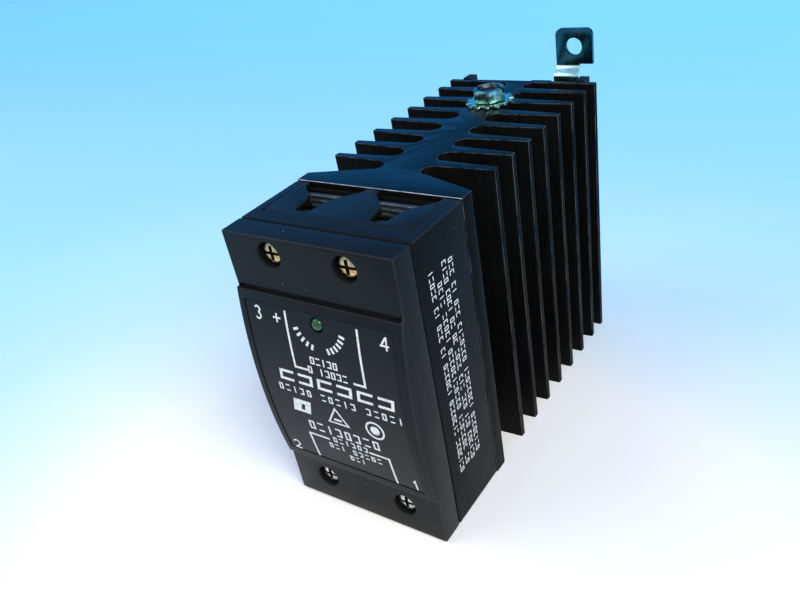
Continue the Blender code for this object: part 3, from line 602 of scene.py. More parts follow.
def led_z():
    low, high = span("status_led", Z)
    return (low + high) / 2


def label():
    (left, right), (bottom, top) = span("front_label", X), span("front_label", Z)
    outline = panel_arc(bottom, top, LABEL_DEPTH)
    outline += reversed(panel_arc(bottom, top, LABEL_DEPTH + LABEL_THICK))
    film = prism("label_film", [outline], "X", (left, right), "label")
    cut(film, rod("led_hole", LED_RADIUS + 0.3, -4, 6, at=(0, FRONT, led_z()), facing="+Y"))
    round_edges(film, 0.05, 1, 50.0)
    piece(film, FRAME_BODY, "label", "front_label")


def base():
    front, back = span("base_housing", Y)
    shell = box(
        "base_shell", (-HALF_WIDTH, HALF_WIDTH), (front, back), (HOUSING_BOTTOM, HOUSING_TOP),
        "base cover_edge inside base_side",
    )
    # the rounding takes slot 1, the painted edge highlight
    round_edges(shell, CORNER_ROUND, 3, 50.0, 1)
    half = HALF_WIDTH - BASE_WALL
    rear = FRONT + REAR_WALL_FRONT
    cut(shell, box("cavity", (-half, half), (front - 1, rear), (CAVITY_LOW, CAVITY_HIGH)))
    cut(shell, box("window", (-WINDOW_HALF, WINDOW_HALF), (rear - 1, back + 1), (WINDOW_LOW, WINDOW_HIGH)))
    for number in SCREWS:
        x, z = screw_axis(number)
        upper = number in UPPER
        outer = HOUSING_TOP - CEILING if upper else HOUSING_BOTTOM + CEILING
        inner = z - 4.8 if upper else z + 4.8
        depths = (front - 1, FRONT + 25.0)
        cut(shell, box("pocket", (x - 8.7, x + 8.7), depths, sorted((inner, outer))))
        slot = 2.9 if upper else 5.4
        heights = (65.9, 69.9) if upper else (11.7, 15.7)
        cut(shell, box("slot", (x - slot, x + slot), (FRONT + 14.5, FRONT + 16.5), heights))
    guide = span("top_wire_guide", X)[1] + 0.2
    rim = span("top_wire_guide", Y)[0] - 0.2
    skin = CEILING + 0.01
    for heights in ((HOUSING_TOP - skin, HOUSING_TOP + 1), (HOUSING_BOTTOM - 1, HOUSING_BOTTOM + skin)):
        cut(shell, box("recess", (-guide, guide), (rim, back + 1), heights))
    for z in HOUSING_HOLE_HEIGHTS:
        cut(shell, rod("hole", HOUSING_HOLE_RADIUS, 20, 30, at=(0, FRONT, z), facing="+Y", steps=32))
    edge = HALF_WIDTH - 0.5
    paint(shell, 2, lambda c, n: c.y < front + JOINT_LINE and n.y < -0.2)
    # painted shade on the side faces
    paint(shell, 3, lambda c, n: abs(n.x) > 0.99 and abs(c.x) > edge)
    # painted shade on the base's inside faces
    paint(shell, 2, lambda c, n: abs(c.x) < edge and HOUSING_BOTTOM + 1.3 < c.z < HOUSING_TOP - 1.3)
    piece(shell, FRAME_BODY, "housing", "base_housing")


# half width of a wire mouth at depths behind the front plane: narrow in front, wide at the back
MOUTH = (
    (12.4, 1.5), (12.8, 2.0), (15.8, 2.4), (17.6, 2.8), (19.2, 3.6),
    (20.8, 4.9), (22.6, 6.8), (24.0, 8.0), (25.6, 8.3),
)
MOUTH_RIM = 0.7
GUIDE_CORNER = 0.8


def softened(points, steps=4):
    """A polyline with extra points along a smooth curve through its own."""
    made = []
    last = len(points) - 1
    for index in range(last):
        before, start, end, after = (Vector(points[max(0, min(last, index + k))]) for k in (-1, 0, 1, 2))
        for step in range(steps):
            t = step / steps
            rise = (end - before) / 2 * (t**3 - 2 * t**2 + t) + (after - start) / 2 * (t**3 - t**2)
            made.append(tuple(start.lerp(end, t * t * (3 - 2 * t)) + rise))
    return made + [points[-1]]


def wire_guide(node, upper):
    half = span(node, X)[1]
    front, back = span(node, Y)
    corner = GUIDE_CORNER
    outline = [(half, back)]
    mouths = [screw_axis(number)[0] for number in SCREWS if (number in UPPER) == upper]
    for x in sorted(mouths, reverse=True):
        widest = half - MOUTH_RIM - abs(x)
        edge = [(min(reach, widest), FRONT + depth) for depth, reach in softened(MOUTH)]
        outline += [(x + reach, y) for reach, y in reversed(edge)]
        outline += [(x - reach, y) for reach, y in edge]
    outline += [(-half, back), (-half, front + corner), (-half + corner, front)]
    outline += [(half - corner, front), (half, front + corner)]
    plate = prism(node + "_plate", [outline], "Z", span(node, Z), "base cover_edge")
    # the rounding takes slot 1, the painted edge highlight
    round_edges(plate, 0.1, 2, 40.0, 1)
    piece(plate, FRAME_BODY, "housing", node)


# ---------------------------------------------------------------- terminals

HEAD_HEIGHT, HEAD_RADIUS = 2.5, 2.75
SHANK_RADIUS, M4_PITCH, M4_CORE = 1.85, 0.7, 1.62
CAGE_SIDE, CAGE_FRONT_WALL, CAGE_REAR_WALL, CAGE_CORNER = 1.2, 1.5, 1.2, 0.9
RIDGE_START, RIDGE_PITCH, RIDGES = 0.6, 1.3, 3


def recess_cutters(at, top, blade, cross):
    """A slot right across a screw head and the tapered arms of a cross recess."""
    made = [box("slot", (-4, 4), (top - 1, top + 1.0), (-blade / 2, blade / 2), at=at)]
    arms = [(-cross, top - 1), (-cross, top + 0.1), (-0.5, top + 1.9), (0.5, top + 1.9)]
    arms += [(cross, top + 0.1), (cross, top - 1)]
    upright = [(v, u) for u, v in arms]
    made.append(prism("arm", [upright], "X", (-0.5, 0.5), at=at))
    return made


def terminal_screw(number):
    x, z = screw_axis(number)
    low, high = span(f"terminal_screw_{number}", Y)
    top = low - FRONT
    under = top + HEAD_HEIGHT
    tip = high - FRONT
    profile = [(0, -top), (1.6, -top), (2.25, -top - 0.12), (2.62, -top - 0.4)]
    profile += [(HEAD_RADIUS, -top - 0.8), (HEAD_RADIUS, -under + 0.15), (2.6, -under), (1.9, -under)]
    depth = under + 0.6
    while depth + M4_PITCH < tip - 0.8:
        crest = [(SHANK_RADIUS, -depth - M4_PITCH * 0.42), (SHANK_RADIUS, -depth - M4_PITCH * 0.55)]
        profile += [(M4_CORE, -depth)] + crest
        depth += M4_PITCH
    profile += [(M4_CORE, -depth), (M4_CORE, -tip + 0.6), (1.2, -tip), (0, -tip)]
    finish = "brass brass_recess" if number in UPPER else "zinc zinc_recess"
    at = (x, FRONT, z)
    screw = turned(f"clamp_screw_{number}", profile, finish, at, "-Y", 48)
    cut(screw, *recess_cutters(at, top, 0.75, 1.75))
    round_edges(screw, 0.05, 1, 45.0)
    # painted shade in the cross recess
    paint(screw, 1, lambda c, n: low + 0.12 < c.y < low + 2.2 and math.hypot(c.x - x, c.z - z) < 2.2)
    slot = "brass_plated" if number in UPPER else "zinc"
    piece(screw, f"screw_{number}", slot, f"terminal_screw_{number}")


def cage(number):
    """Rising cage with rounded corners and a stepped, ridged rear wall."""
    node = f"terminal_cage_{number}"
    (left, right), (front, back), (low, high) = (span(node, axis) for axis in (X, Y, Z))
    x = (left + right) / 2
    half = (right - left) / 2
    corner = CAGE_CORNER
    ring = []
    for cx, cy, start in ((half, back, 0), (-half, back, 90), (-half, front, 180), (half, front, 270)):
        sx = 1 if cx > 0 else -1
        sy = 1 if cy == back else -1
        ring += arc((x + cx - sx * corner, cy - sy * corner), corner, start, start + 90, 5)
    sides = (left + CAGE_SIDE, right - CAGE_SIDE)
    inner = rectangle(sides, (front + CAGE_FRONT_WALL, back - CAGE_REAR_WALL))
    sleeve = prism(f"clamp_cage_{number}", [ring, inner], "Z", (low, high), "cage ledge")
    upper = number in UPPER
    outer, turn = (high, -1) if upper else (low, 1)
    grooves = []
    for index in range(RIDGES):
        start = outer + turn * (RIDGE_START + RIDGE_PITCH * index)
        heights = sorted((start, start + turn * RIDGE_PITCH / 2))
        grooves.append(box("groove", (left + 1.1, right - 1.1), (back - 2.2, back - 0.7), heights))
    cut(sleeve, *grooves)
    cut(sleeve, rod("bore", 2.0, 10, 14, at=(x, FRONT, screw_axis(number)[1]), facing="+Y", steps=32))
    round_edges(sleeve, 0.08, 1, 45.0)
    split = bmesh.new()
    split.from_mesh(sleeve.data)
    seam = back - CAGE_REAR_WALL - 0.05
    slice_mesh(split, Y, seam)
    split.to_mesh(sleeve.data)
    split.free()
    # painted highlight on the lit steps of the ridged rear wall
    paint(sleeve, 1, lambda c, n: (
        c.y > seam + 0.01 and abs(c.z - outer) < 3.2 and (n.y < -0.5 or n.z * turn < -0.9)
    ))
    piece(sleeve, f"cage_{number}", "tinned_copper", node)


# ---------------------------------------------------------------- heat sink

FIN_COUNT = 7
FIN_PITCH = 8.37
FIRST_FIN = 41.5
SPINE_FRONT, SPINE_REAR = 5.5, 2.9
FIN_ROOT, FIN_TIP, TIP_ROUND = 3.5, 1.9, 0.45
PLATE_EDGE, PLATE_SLOPE = 30.1, 0.347
REAR_PLATE_FRONT = 97.9
GROUND_HOLE = 2.6


def fin_half(x):
    share = (x - SPINE_FRONT) / (HALF_WIDTH - SPINE_FRONT)
    return (FIN_ROOT + (FIN_TIP - FIN_ROOT) * share) / 2


def sink_side():
    """Right-hand outline of the extrusion, as depths behind the front plane."""
    points = [(HALF_WIDTH, SINK_FRONT - FRONT), (HALF_WIDTH, PLATE_EDGE)]
    for slot in range(FIN_COUNT + 1):
        spine = SPINE_FRONT + (SPINE_REAR - SPINE_FRONT) * slot / FIN_COUNT
        fin_y = FIRST_FIN + FIN_PITCH * slot
        root_x = spine + 2.0
        front = fin_y - FIN_PITCH + fin_half(root_x)
        if slot == 0:
            front = PLATE_EDGE + PLATE_SLOPE * (HALF_WIDTH - root_x)
        back = fin_y - fin_half(root_x) if slot < FIN_COUNT else REAR_PLATE_FRONT
        radius = (back - front) / 2
        points += arc((spine + radius, (front + back) / 2), radius, -90, -270, 20)
        if slot < FIN_COUNT:
            centre_x = HALF_WIDTH - TIP_ROUND
            reach = FIN_TIP / 2 - TIP_ROUND
            points += arc((centre_x, fin_y - reach), TIP_ROUND, -90, 0, 4)
            points += arc((centre_x, fin_y + reach), TIP_ROUND, 0, 90, 4)
    return points + [(HALF_WIDTH, REAR_PLATE_FRONT + 0.1), (HALF_WIDTH, SINK_BACK - FRONT)]


def heat_sink():
    side = [(x, FRONT + depth) for x, depth in sink_side()]
    outline = side + [(-x, y) for x, y in reversed(side)]
    sink = prism("sink_extrusion", [outline], "Z", (0.0, SINK_HEIGHT), "sink sink_edge sink_cut bare")
    # the rounding takes slot 1, the streaked edge finish: part wear, part painted highlight
    round_edges(sink, 0.13, 2, 55.0, 1)
    ground = ground_axis()
    cut(sink, rod("ground_hole", GROUND_HOLE, -12, 1, at=(0, ground, SINK_HEIGHT), steps=32))
    for z in HOUSING_HOLE_HEIGHTS:
        cut(sink, rod("hole", HOUSING_HOLE_RADIUS, 20, 36, at=(0, FRONT, z), facing="+Y", steps=32))
    for z in CLIP_HOLE_HEIGHTS:
        cut(sink, rod("hole", CLIP_HOLE_RADIUS, 90, 105, at=(0, FRONT, z), facing="+Y", steps=32))
    # sawn faces: saw lines with a painted blue reflection
    paint(sink, 2, lambda c, n: abs(n.z) > 0.99)
    # painted highlight: the fin-tip faces turned to the front take the streaked edge finish
    paint(sink, 1, lambda c, n: 0.6 < abs(n.x) < 0.9 and n.y < -0.2 and abs(c.x) > HALF_WIDTH - 0.5)
    rim = SINK_HEIGHT - 0.2
    paint(sink, 3, lambda c, n: c.y < SINK_FRONT + 0.2 and c.z > rim and 0.1 < abs(n.z) < 0.98)
    piece(sink, FRAME_BODY, "anodised", "heat_sink")


def ground_axis():
    low, high = span("ground_washer", Y)
    return (low + high) / 2


WASHER_TEETH, WASHER_BORE, TOOTH_TWIST = 14, 2.7, 0.16
# one tooth and the gap after it: share of the pitch, radius
TOOTH = ((0.0, 6.4), (0.16, 6.4), (0.34, 6.35), (0.5, 6.3), (0.56, 5.3), (0.75, 5.15), (0.94, 5.3))
GROUND_FLATS, GROUND_SHANK, M5_PITCH, M5_CORE = 8.0, 2.4, 0.8, 2.1
STACK_GAP = 0.15


def ground_washer():
    low, high = span("ground_washer", Z)
    at = (0, ground_axis(), 0)
    outline = []
    for index in range(WASHER_TEETH):
        start = 2 * math.pi * index / WASHER_TEETH
        for share, radius in TOOTH:
            angle = start + share * 2 * math.pi / WASHER_TEETH
            outline.append((radius * math.cos(angle), radius * math.sin(angle)))
    bore = arc((0, 0), WASHER_BORE, 0, 354, 59)
    heights = (low + STACK_GAP, high - STACK_GAP)
    washer = prism("toothed_washer", [outline, bore], "Z", heights, "green_zinc", at)
    twist = TOOTH_TWIST * MM
    for vertex in washer.data.vertices:
        radius = math.hypot(vertex.co.x, vertex.co.y) / MM
        angle = math.atan2(vertex.co.y, vertex.co.x) % (2 * math.pi)
        place_in_tooth = (angle * WASHER_TEETH / (2 * math.pi)) % 1.0
        if radius > 5.25:
            vertex.co.z += twist * (1 if place_in_tooth < 0.28 else -1) * (1 if radius > 6 else 0.3)
    round_edges(washer, 0.06, 1, 45.0)
    piece(washer, "ground_washer_body", "zinc", "ground_washer")


def ground_screw():
    bottom, top = span("ground_screw", Z)
    seat = span("ground_washer", Z)[1] + STACK_GAP
    at = (0, ground_axis(), 0)
    hexagon = arc((0, 0), GROUND_FLATS / math.sqrt(3), 0, 300, 5)
    head = prism("earth_screw", [hexagon], "Z", (seat, top), "head_zinc zinc_recess", at)
    crown = [(0, top + 1), (6, top + 1), (6, top - 1.0), (4.66, top - 0.62), (3.75, top), (3.1, top)]
    crown += [(2.8, top - 0.9), (0, top - 1.0)]
    cut(head, turned("crown", crown, at=at))
    shank = [(0, seat + 1), (GROUND_SHANK, seat + 1), (GROUND_SHANK, seat - 0.6)]
    depth = seat - 0.6
    while depth - M5_PITCH > bottom + 0.8:
        shank += [(M5_CORE, depth - 0.15), (GROUND_SHANK, depth - 0.5), (GROUND_SHANK, depth - 0.65)]
        depth -= M5_PITCH
    shank += [(M5_CORE, bottom + 0.5), (1.7, bottom), (0, bottom)]
    join(head, turned("shank", shank, at=at, steps=40))
    cut(head, box("slot", (-6, 6), (-0.6, 0.6), (top - 1.3, top + 1), at=at))
    round_edges(head, 0.07, 2, 40.0)
    # painted shade in the crown's dish
    paint(head, 1, lambda c, n: top - 1.1 < c.z < top - 0.3 and math.hypot(c.x, c.y - at[1]) < 2.95)
    piece(head, "ground_screw_body", "zinc", "ground_screw")


# ---------------------------------------------------------------- rail clip

LATCH_LEFT, LATCH_RIGHT, LATCH_BOTTOM = 9.2, 16.0, 28.0
LATCH_FRONT, LATCH_THICK = 101.7, 1.1
TAB_RIGHT, TAB_LOW, TAB_HIGH, TAB_ROUND = 19.7, 81.2, 90.6, 1.8
TAB_HOLE, TAB_HOLE_RADIUS = (14.4, 85.8), 2.35
JOGGLE, JOGGLE_LOW, JOGGLE_RISE, JOGGLE_STEPS = 2.4, 78.4, 2.4, 12
JAW_LOW, JAW_TOP, JAW_LIP = 56.8, 57.9, 54.6


def latch():
    """Sheet-metal latch: one blank with a rounded tab and a punched hole, bent at the joggle."""
    left, front, thick = LATCH_LEFT, FRONT + LATCH_FRONT, LATCH_THICK
    blank = [(left, LATCH_BOTTOM), (LATCH_RIGHT, LATCH_BOTTOM), (LATCH_RIGHT, TAB_LOW), (TAB_RIGHT, TAB_LOW)]
    crown = TAB_HIGH - TAB_ROUND
    blank += arc((TAB_RIGHT - TAB_ROUND, crown), TAB_ROUND, 0, 90, 10)
    blank += arc((left + TAB_ROUND, crown), TAB_ROUND, 90, 180, 10)
    hole = arc(TAB_HOLE, TAB_HOLE_RADIUS, 0, 355, 71)
    shape = drawn_shape([blank, hole], "Y", (front, front + thick))
    for step in range(JOGGLE_STEPS + 1):
        slice_mesh(shape, Z, JOGGLE_LOW + JOGGLE_RISE * step / JOGGLE_STEPS)
    for vertex in shape.verts:
        share = min(1.0, max(0.0, (vertex.co.z / MM - JOGGLE_LOW) / JOGGLE_RISE))
        vertex.co.y += JOGGLE * MM * share * share * (3 - 2 * share)
    strip = finished(shape, "latch_sheet", (0, 0, 0), "steel bright_steel")
    back = front + thick
    lip_front, lip_back = FRONT + 105.0, FRONT + 106.1
    jaw = [(back - 0.5, JAW_LOW), (lip_front, JAW_LOW), (lip_front, JAW_LIP), (lip_back, JAW_LIP)]
    jaw += [(lip_back, JAW_TOP), (back - 0.5, JAW_TOP)]
    join(strip, prism("jaw", [jaw], "X", (left + 0.9, left + 5.9)))
    join(strip, box("arm", (2.3, left + 1), (front, back), (60.0, 62.0)))
    round_edges(strip, 0.12, 2, 40.0)
    # painted highlight on the joggle's bend
    paint(strip, 1, lambda c, n: 78.3 < c.z < 81.0)
    piece(strip, "latch", "spring_steel", "rail_latch")


SPRING_WIRE, SPRING_TURNS, POINTS_PER_TURN = 0.25, 6, 28


def spring():
    """Compression spring above the latch's arm."""
    (left, right), (front, back), (low, high) = (span("latch_spring", axis) for axis in (X, Y, Z))
    wire = SPRING_WIRE
    mean = (right - left) / 2 - wire
    curve = bpy.data.curves.new("return_spring", "CURVE")
    curve.dimensions = "3D"
    curve.bevel_depth = wire * MM
    curve.bevel_resolution = 4
    curve.use_fill_caps = True
    steps = SPRING_TURNS * POINTS_PER_TURN
    spline = curve.splines.new("POLY")
    spline.points.add(steps)
    rise = high - low - 2 * wire
    for step, point in enumerate(spline.points):
        share = step / steps
        angle = 2 * math.pi * SPRING_TURNS * share
        x, y = mean * math.cos(angle), mean * math.sin(angle)
        point.co = (x * MM, y * MM, (low + wire + rise * share) * MM, 1.0)
    path = bpy.data.objects.new("spring_path", curve)
    scene.collection.objects.link(path)
    shape = bmesh.new()
    shape.from_mesh(evaluated(path))
    bpy.data.objects.remove(path, do_unlink=True)
    bmesh.ops.remove_doubles(shape, verts=shape.verts, dist=1e-6)
    x, y = (left + right) / 2, (front + back) / 2
    coil = finished(shape, "return_spring", (x, y, 0), "bright_steel")
    piece(coil, FRAME_BODY, "spring_steel", "latch_spring")
    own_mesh(coil)


# ---------------------------------------------------------------- lamp

def lamp():
    tip = span("status_led", Y)[0]
    dome_height, flange = 1.1, 1.9
    angles = [math.radians(degrees) for degrees in range(84, -1, -6)]
    profile = [(0, 0)]
    profile += [(LED_RADIUS * math.cos(a), -dome_height + dome_height * math.sin(a)) for a in angles]
    flange_top, flange_back = tip - FRONT - 2.4, tip - FRONT - 3.2
    profile += [(LED_RADIUS, flange_top), (flange, flange_top), (flange, flange_back), (0, flange_back)]
    dome = turned("lamp_dome", profile, "lens", (0, tip, led_z()), "-Y", 48)
    piece(dome, FRAME_BODY, "led_lens", "status_led")
    half, depths = 0.25, (FRONT + 3.4, FRONT + 12.5)
    for side, x in (("a", -1.27), ("b", 1.27)):
        width = (x - half, x + half)
        lead = box(f"lamp_lead_{side}", width, depths, (-half, half), "tin", at=(0, 0, led_z()))
        round_edges(lead, 0.08, 1, 40.0)
        piece(lead, FRAME_BODY, "tinned_copper")


# ---------------------------------------------------------------- print

INK_THICK = 0.03


def lay_on_panel(shape, inset=LABEL_DEPTH):
    """Bends flat print round the arched label."""
    heights = [vertex.co.z / MM for vertex in shape.verts]
    level = math.floor(min(heights)) + 1.0
    while level < max(heights):
        slice_mesh(shape, Z, level)
        level += 1.0
    for vertex in shape.verts:
        vertex.co.y += panel_y(vertex.co.z / MM, inset) * MM


def ink(name, loops):
    """Marks on the label, from outlines in X and Z."""
    shape = drawn_shape(loops, "Y", (-INK_THICK, 0.012))
    lay_on_panel(shape)
    mark = finished(shape, name, (0, 0, 0), "ink")
    piece(mark, FRAME_BODY, "label")


def stroke(points, width):
    """Outline of a polyline drawn with a pen of that width, with square ends and mitred corners."""
    left, right = [], []
    for index, point in enumerate(points):
        before = Vector(points[index - 1]) if index else None
        after = Vector(points[index + 1]) if index + 1 < len(points) else None
        here = Vector(point)
        ways = [here - before] if before else []
        ways += [after - here] if after else []
        ways = [way.normalized() for way in ways]
        along = sum(ways, Vector((0, 0))).normalized()
        side = Vector((-along.y, along.x))
        stretch = 1.0 / max(0.35, side.dot(Vector((-ways[0].y, ways[0].x))))
        left.append(tuple(here + side * width / 2 * stretch))
        right.append(tuple(here - side * width / 2 * stretch))
    return left + list(reversed(right))


def numeral(which, x, z, height=3.1, pen=0.42):
    """A terminal number or plus sign drawn with plain strokes, centred at a place."""
    h, w = height / 2, height * 0.3
    shapes = {
        "1": [[(-0.5 * w, 0.55 * h), (0.1 * w, h), (0.1 * w, -h)]],
        "2": [arc((0, h - w), w, 165, -35, 8) + [(-w, -h + pen / 2), (w, -h + pen / 2)]],
        "3": [arc((0, h * 0.5), h * 0.46, 150, -80, 8), arc((0, -h * 0.5), h * 0.5, 80, -150, 8)],
        "4": [[(0.45 * w, -h), (0.45 * w, h)], [(0.35 * w, 0.95 * h), (-w, -0.35 * h), (1.1 * w, -0.35 * h)]],
        "+": [[(-0.42 * height, 0), (0.42 * height, 0)], [(0, -0.42 * height), (0, 0.42 * height)]],
    }[which]
    label = which.replace("+", "plus")
    for index, line in enumerate(shapes):
        ink(f"mark_{label}_{index}", [stroke([(x + u, z + v) for u, v in line], pen)])


def bar(x, z, width, height, slant=0.0):
    u, v = width / 2, height / 2
    return [(x - u - slant, z - v), (x + u - slant, z - v), (x + u + slant, z + v), (x - u + slant, z + v)]


def diagram():
    """Brackets that lead from the terminal numbers to the input and the output."""
    pen = 0.55
    ink("input_bracket_left", [stroke([(-8.8, 60.5), (-8.8, 46.4), (-4.6, 46.4)], pen)])
    ink("input_bracket_right", [stroke([(10.8, 60.2), (10.8, 46.2), (7.6, 46.2)], pen)])
    ink("output_bracket_left", [stroke([(-11.2, 16.95), (-11.2, 25.4), (-5.1, 25.4)], pen)])
    ink("output_bracket_right", [stroke([(12.25, 16.95), (12.25, 25.4), (6.7, 25.4)], pen)])
    numeral("3", -17.1, 58.6)
    numeral("+", -11.5, 58.3, 2.6)
    numeral("4", 17.6, 58.4)
    numeral("2", -17.9, 18.5)
    numeral("1", 17.8, 18.7)


def lamp_legend():
    """A broken arc of short ticks under the lamp."""
    middle = led_z() + 0.5
    for index, degrees in enumerate((*range(-158, -109, 12), *range(-72, -16, 11))):
        angle = math.radians(degrees)
        points = [(r * math.cos(angle), middle + r * math.sin(angle)) for r in (6.0, 7.5)]
        ink(f"lamp_tick_{index}", [stroke(points, 0.62)])


def glyph(kind, x, z, size, pen):
    """A plain geometric figure the size of a letter, as one or two loops."""
    w, h = size * 0.31, size / 2
    outer = [(-w, -h), (w, -h), (w, h), (-w, h)]
    shapes = {
        "post": [[(-pen / 2, -h), (pen / 2, -h), (pen / 2, h), (-pen / 2, h)]],
        "frame": [outer, [
            (-w + pen, -h + pen), (-w + pen, h - pen), (w - pen, h - pen), (w - pen, -h + pen),
        ]],
        "steps": [rectangle((-w, w), (-h, -h + pen)), rectangle((-w, w), (h - pen, h))],
        "hook": [outer + [(-w, h - pen), (w - pen, h - pen), (w - pen, -h + pen), (-w, -h + pen)]],
    }
    return [[(x + u, z + v) for u, v in loop] for loop in shapes[kind]]


def glyph_row(left, right, z, groups, size, pen):
    """Figures in place of words: as many as the word had letters, evenly spaced."""
    kinds = ("frame", "steps", "post", "hook", "frame", "hook", "steps")
    places = sum(groups) + len(groups) - 1
    pitch = (right - left) / max(1, places - 1)
    loops, index = [], 0
    for count in groups:
        for _ in range(count):
            loops += glyph(kinds[index % len(kinds)], left + pitch * index, z, size, pen)
            index += 1
        index += 1
    return loops


def legends():
    """Greeked lines where a maker would print words, and plain shapes for approval marks."""
    lines = (
        ("legend_input", -3.2, 3.2, 49.4, (5,), 1.9, 0.34),
        ("legend_range", -4.4, 5.4, 46.7, (1, 5), 1.9, 0.34),
        ("legend_kind", -15.3, 18.6, 39.2, (5, 5, 5), 1.9, 0.34),
        ("legend_model", -9.2, 9.6, 28.8, (8,), 2.7, 0.44),
        ("legend_output", -3.2, 5.8, 25.9, (6,), 1.7, 0.32),
        ("legend_rating", -5.2, 9.0, 23.3, (3, 5), 1.7, 0.32),
        ("legend_current", 0.2, 3.6, 20.8, (3,), 1.6, 0.32),
    )
    for name, left, right, z, groups, size, pen in lines:
        ink(name, glyph_row(left, right, z, groups, size, pen))
    for index in range(6):
        x = -12.4 + 5.6 * index
        turn = 1 if index % 2 else -1
        block = rectangle((-2.1, 2.1), (-1.5, 1.5))
        block += [(-2.1, 0.8), (1.3, 0.8), (1.3, -0.8), (-2.1, -0.8)]
        ink(f"title_block_{index}", [[(x + turn * u + 0.12 * v, 43.1 + v) for u, v in block]])
    ink("approval_block", [bar(-10.4, 34.4, 5.2, 3.9, 0.5), list(reversed(bar(-10.1, 34.2, 1.1, 1.9, 0.3)))])
    middle = 33.8
    angles = [math.radians(degrees) for degrees in (90, 210, 330)]
    corners = [(3.7 * math.cos(a), middle + 3.5 * math.sin(a)) for a in angles]
    inner = [(u * 0.76, middle + (v - middle) * 0.76) for u, v in corners]
    ink("approval_triangle", [corners, inner])
    ink("approval_triangle_bar", [bar(0.0, 33.4, 2.2, 0.6)])
    centre = (10.6, 33.9)
    ink("approval_ring", [arc(centre, radius, 0, 352.5, 47) for radius in (2.6, 2.1)])
    ink("approval_dot", [arc(centre, 1.25, 0, 345, 23)])


def side_notice():
    """Four upright greeked lines on the base housing's right side."""
    rows = (
        (10.9, 14.8, 68.4, (7, 7, 6, 2, 3, 2, 5)),
        (13.5, 15.2, 64.4, (2, 7, 11, 5, 4)),
        (16.0, 14.8, 68.2, (6, 3, 3, 3, 4, 2, 2, 4, 4)),
        (18.5, 15.2, 67.6, (8, 8, 7, 3, 2, 3)),
    )
    for index, (depth, low, high, groups) in enumerate(rows):
        flat = glyph_row(low, high, 0.0, groups, 1.6, 0.24)
        loops = [[(FRONT + depth + v, u) for u, v in loop] for loop in flat]
        shape = drawn_shape(loops, "X", (HALF_WIDTH - 0.01, HALF_WIDTH + INK_THICK - 0.01))
        piece(finished(shape, f"side_line_{index}", (0, 0, 0), "ink"), FRAME_BODY, "housing")


# ---------------------------------------------------------------- carried-over CAD nodes

CARRIED = {
    "clip": ("rail_clip",),
    "zinc": ("clip_screw_lower", "clip_screw_upper", "housing_screw_lower", "housing_screw_upper"),
    "laminate": ("circuit_board",),
    "epoxy": ("optocoupler", "trigger_triac"),
    "resistor": ("input_resistor", "snubber_resistor"),
    "capacitor": ("snubber_capacitor",),
    "varistor": ("surge_varistor",),
    "alumina": ("power_substrate",),
    "silicon": ("thyristor_die_left", "thyristor_die_right"),
    "tin": ("gate_lead_left", "gate_lead_right"),
    "pad": ("thermal_pad",),
    "bar": ("terminal_bar_1", "terminal_bar_2", "terminal_bar_3", "terminal_bar_4"),
}


def carried_nodes():
    """CAD nodes whose shape is right keep it and get a finish."""
    for finish, nodes in CARRIED.items():
        for node in nodes:
            mesh = frame["nodes"][node].data
            if not mesh.materials:
                mesh.materials.append(None)
            for index in range(len(mesh.materials)):
                mesh.materials[index] = MATERIALS[finish]


# ---------------------------------------------------------------- stage, light, camera

def stage():
    """Flat floor, pale blue at the back, with painted light that makes it white round the relay."""
    shape = bmesh.new()
    bmesh.ops.create_grid(shape, x_segments=8, y_segments=8, size=3.0)
    floor = finished(shape, "studio_floor", (0, 0, 0), "pad")
    floor.data.materials[0] = floor_material()


def floor_material():
    """Pale blue paper, with painted light that turns it white round the front of the relay."""
    shader = Shader("studio_paper").set(Roughness=0.9, Specular_IOR_Level=0.0)
    split = shader.node("ShaderNodeSeparateXYZ")
    shader.link(shader.coordinates, split.inputs[0])
    behind = shader.range(split.outputs["Y"], 0.0, 1.0, 0.0, 0.50)
    blue = shader.ramp(behind, (
        (0.0, (0.36, 0.70, 0.91)), (0.2, (0.33, 0.66, 0.91)), (0.33, (0.30, 0.64, 0.91)),
        (0.5, (0.265, 0.63, 0.91)), (0.8, (0.23, 0.645, 0.91)), (1.0, (0.235, 0.66, 0.91)),
    ))
    centred = shader.node("ShaderNodeMapping")
    centred.inputs["Location"].default_value = (-0.016, 0.070, 0.0)
    centred.inputs["Scale"].default_value = (0.8, 1.0, 1.0)
    shader.link(shader.coordinates, centred.inputs["Vector"])
    length = shader.node("ShaderNodeVectorMath", operation="LENGTH")
    shader.link(centred.outputs["Vector"], length.inputs[0])
    reach = shader.range(length.outputs["Value"], 0.0, 1.0, 0.07, 0.27)
    # painted light: white round the relay, falling off into the blue paper with distance
    light_falloff = (
        (0.02, 1.0), (0.085, 0.93), (0.135, 0.76), (0.2, 0.6),
        (0.355, 0.31), (0.475, 0.2), (0.76, 0.05), (1.0, 0.0),
    )
    painted_light_share = shader.ramp(reach, [(position, (share,) * 3) for position, share in light_falloff])
    shader.colour(shader.blend(painted_light_share, blue, (0.92, 0.92, 0.92)))
    paper = shader.noise(700.0, 3.0)
    return shader.bump(paper, 0.02, 0.0001).material


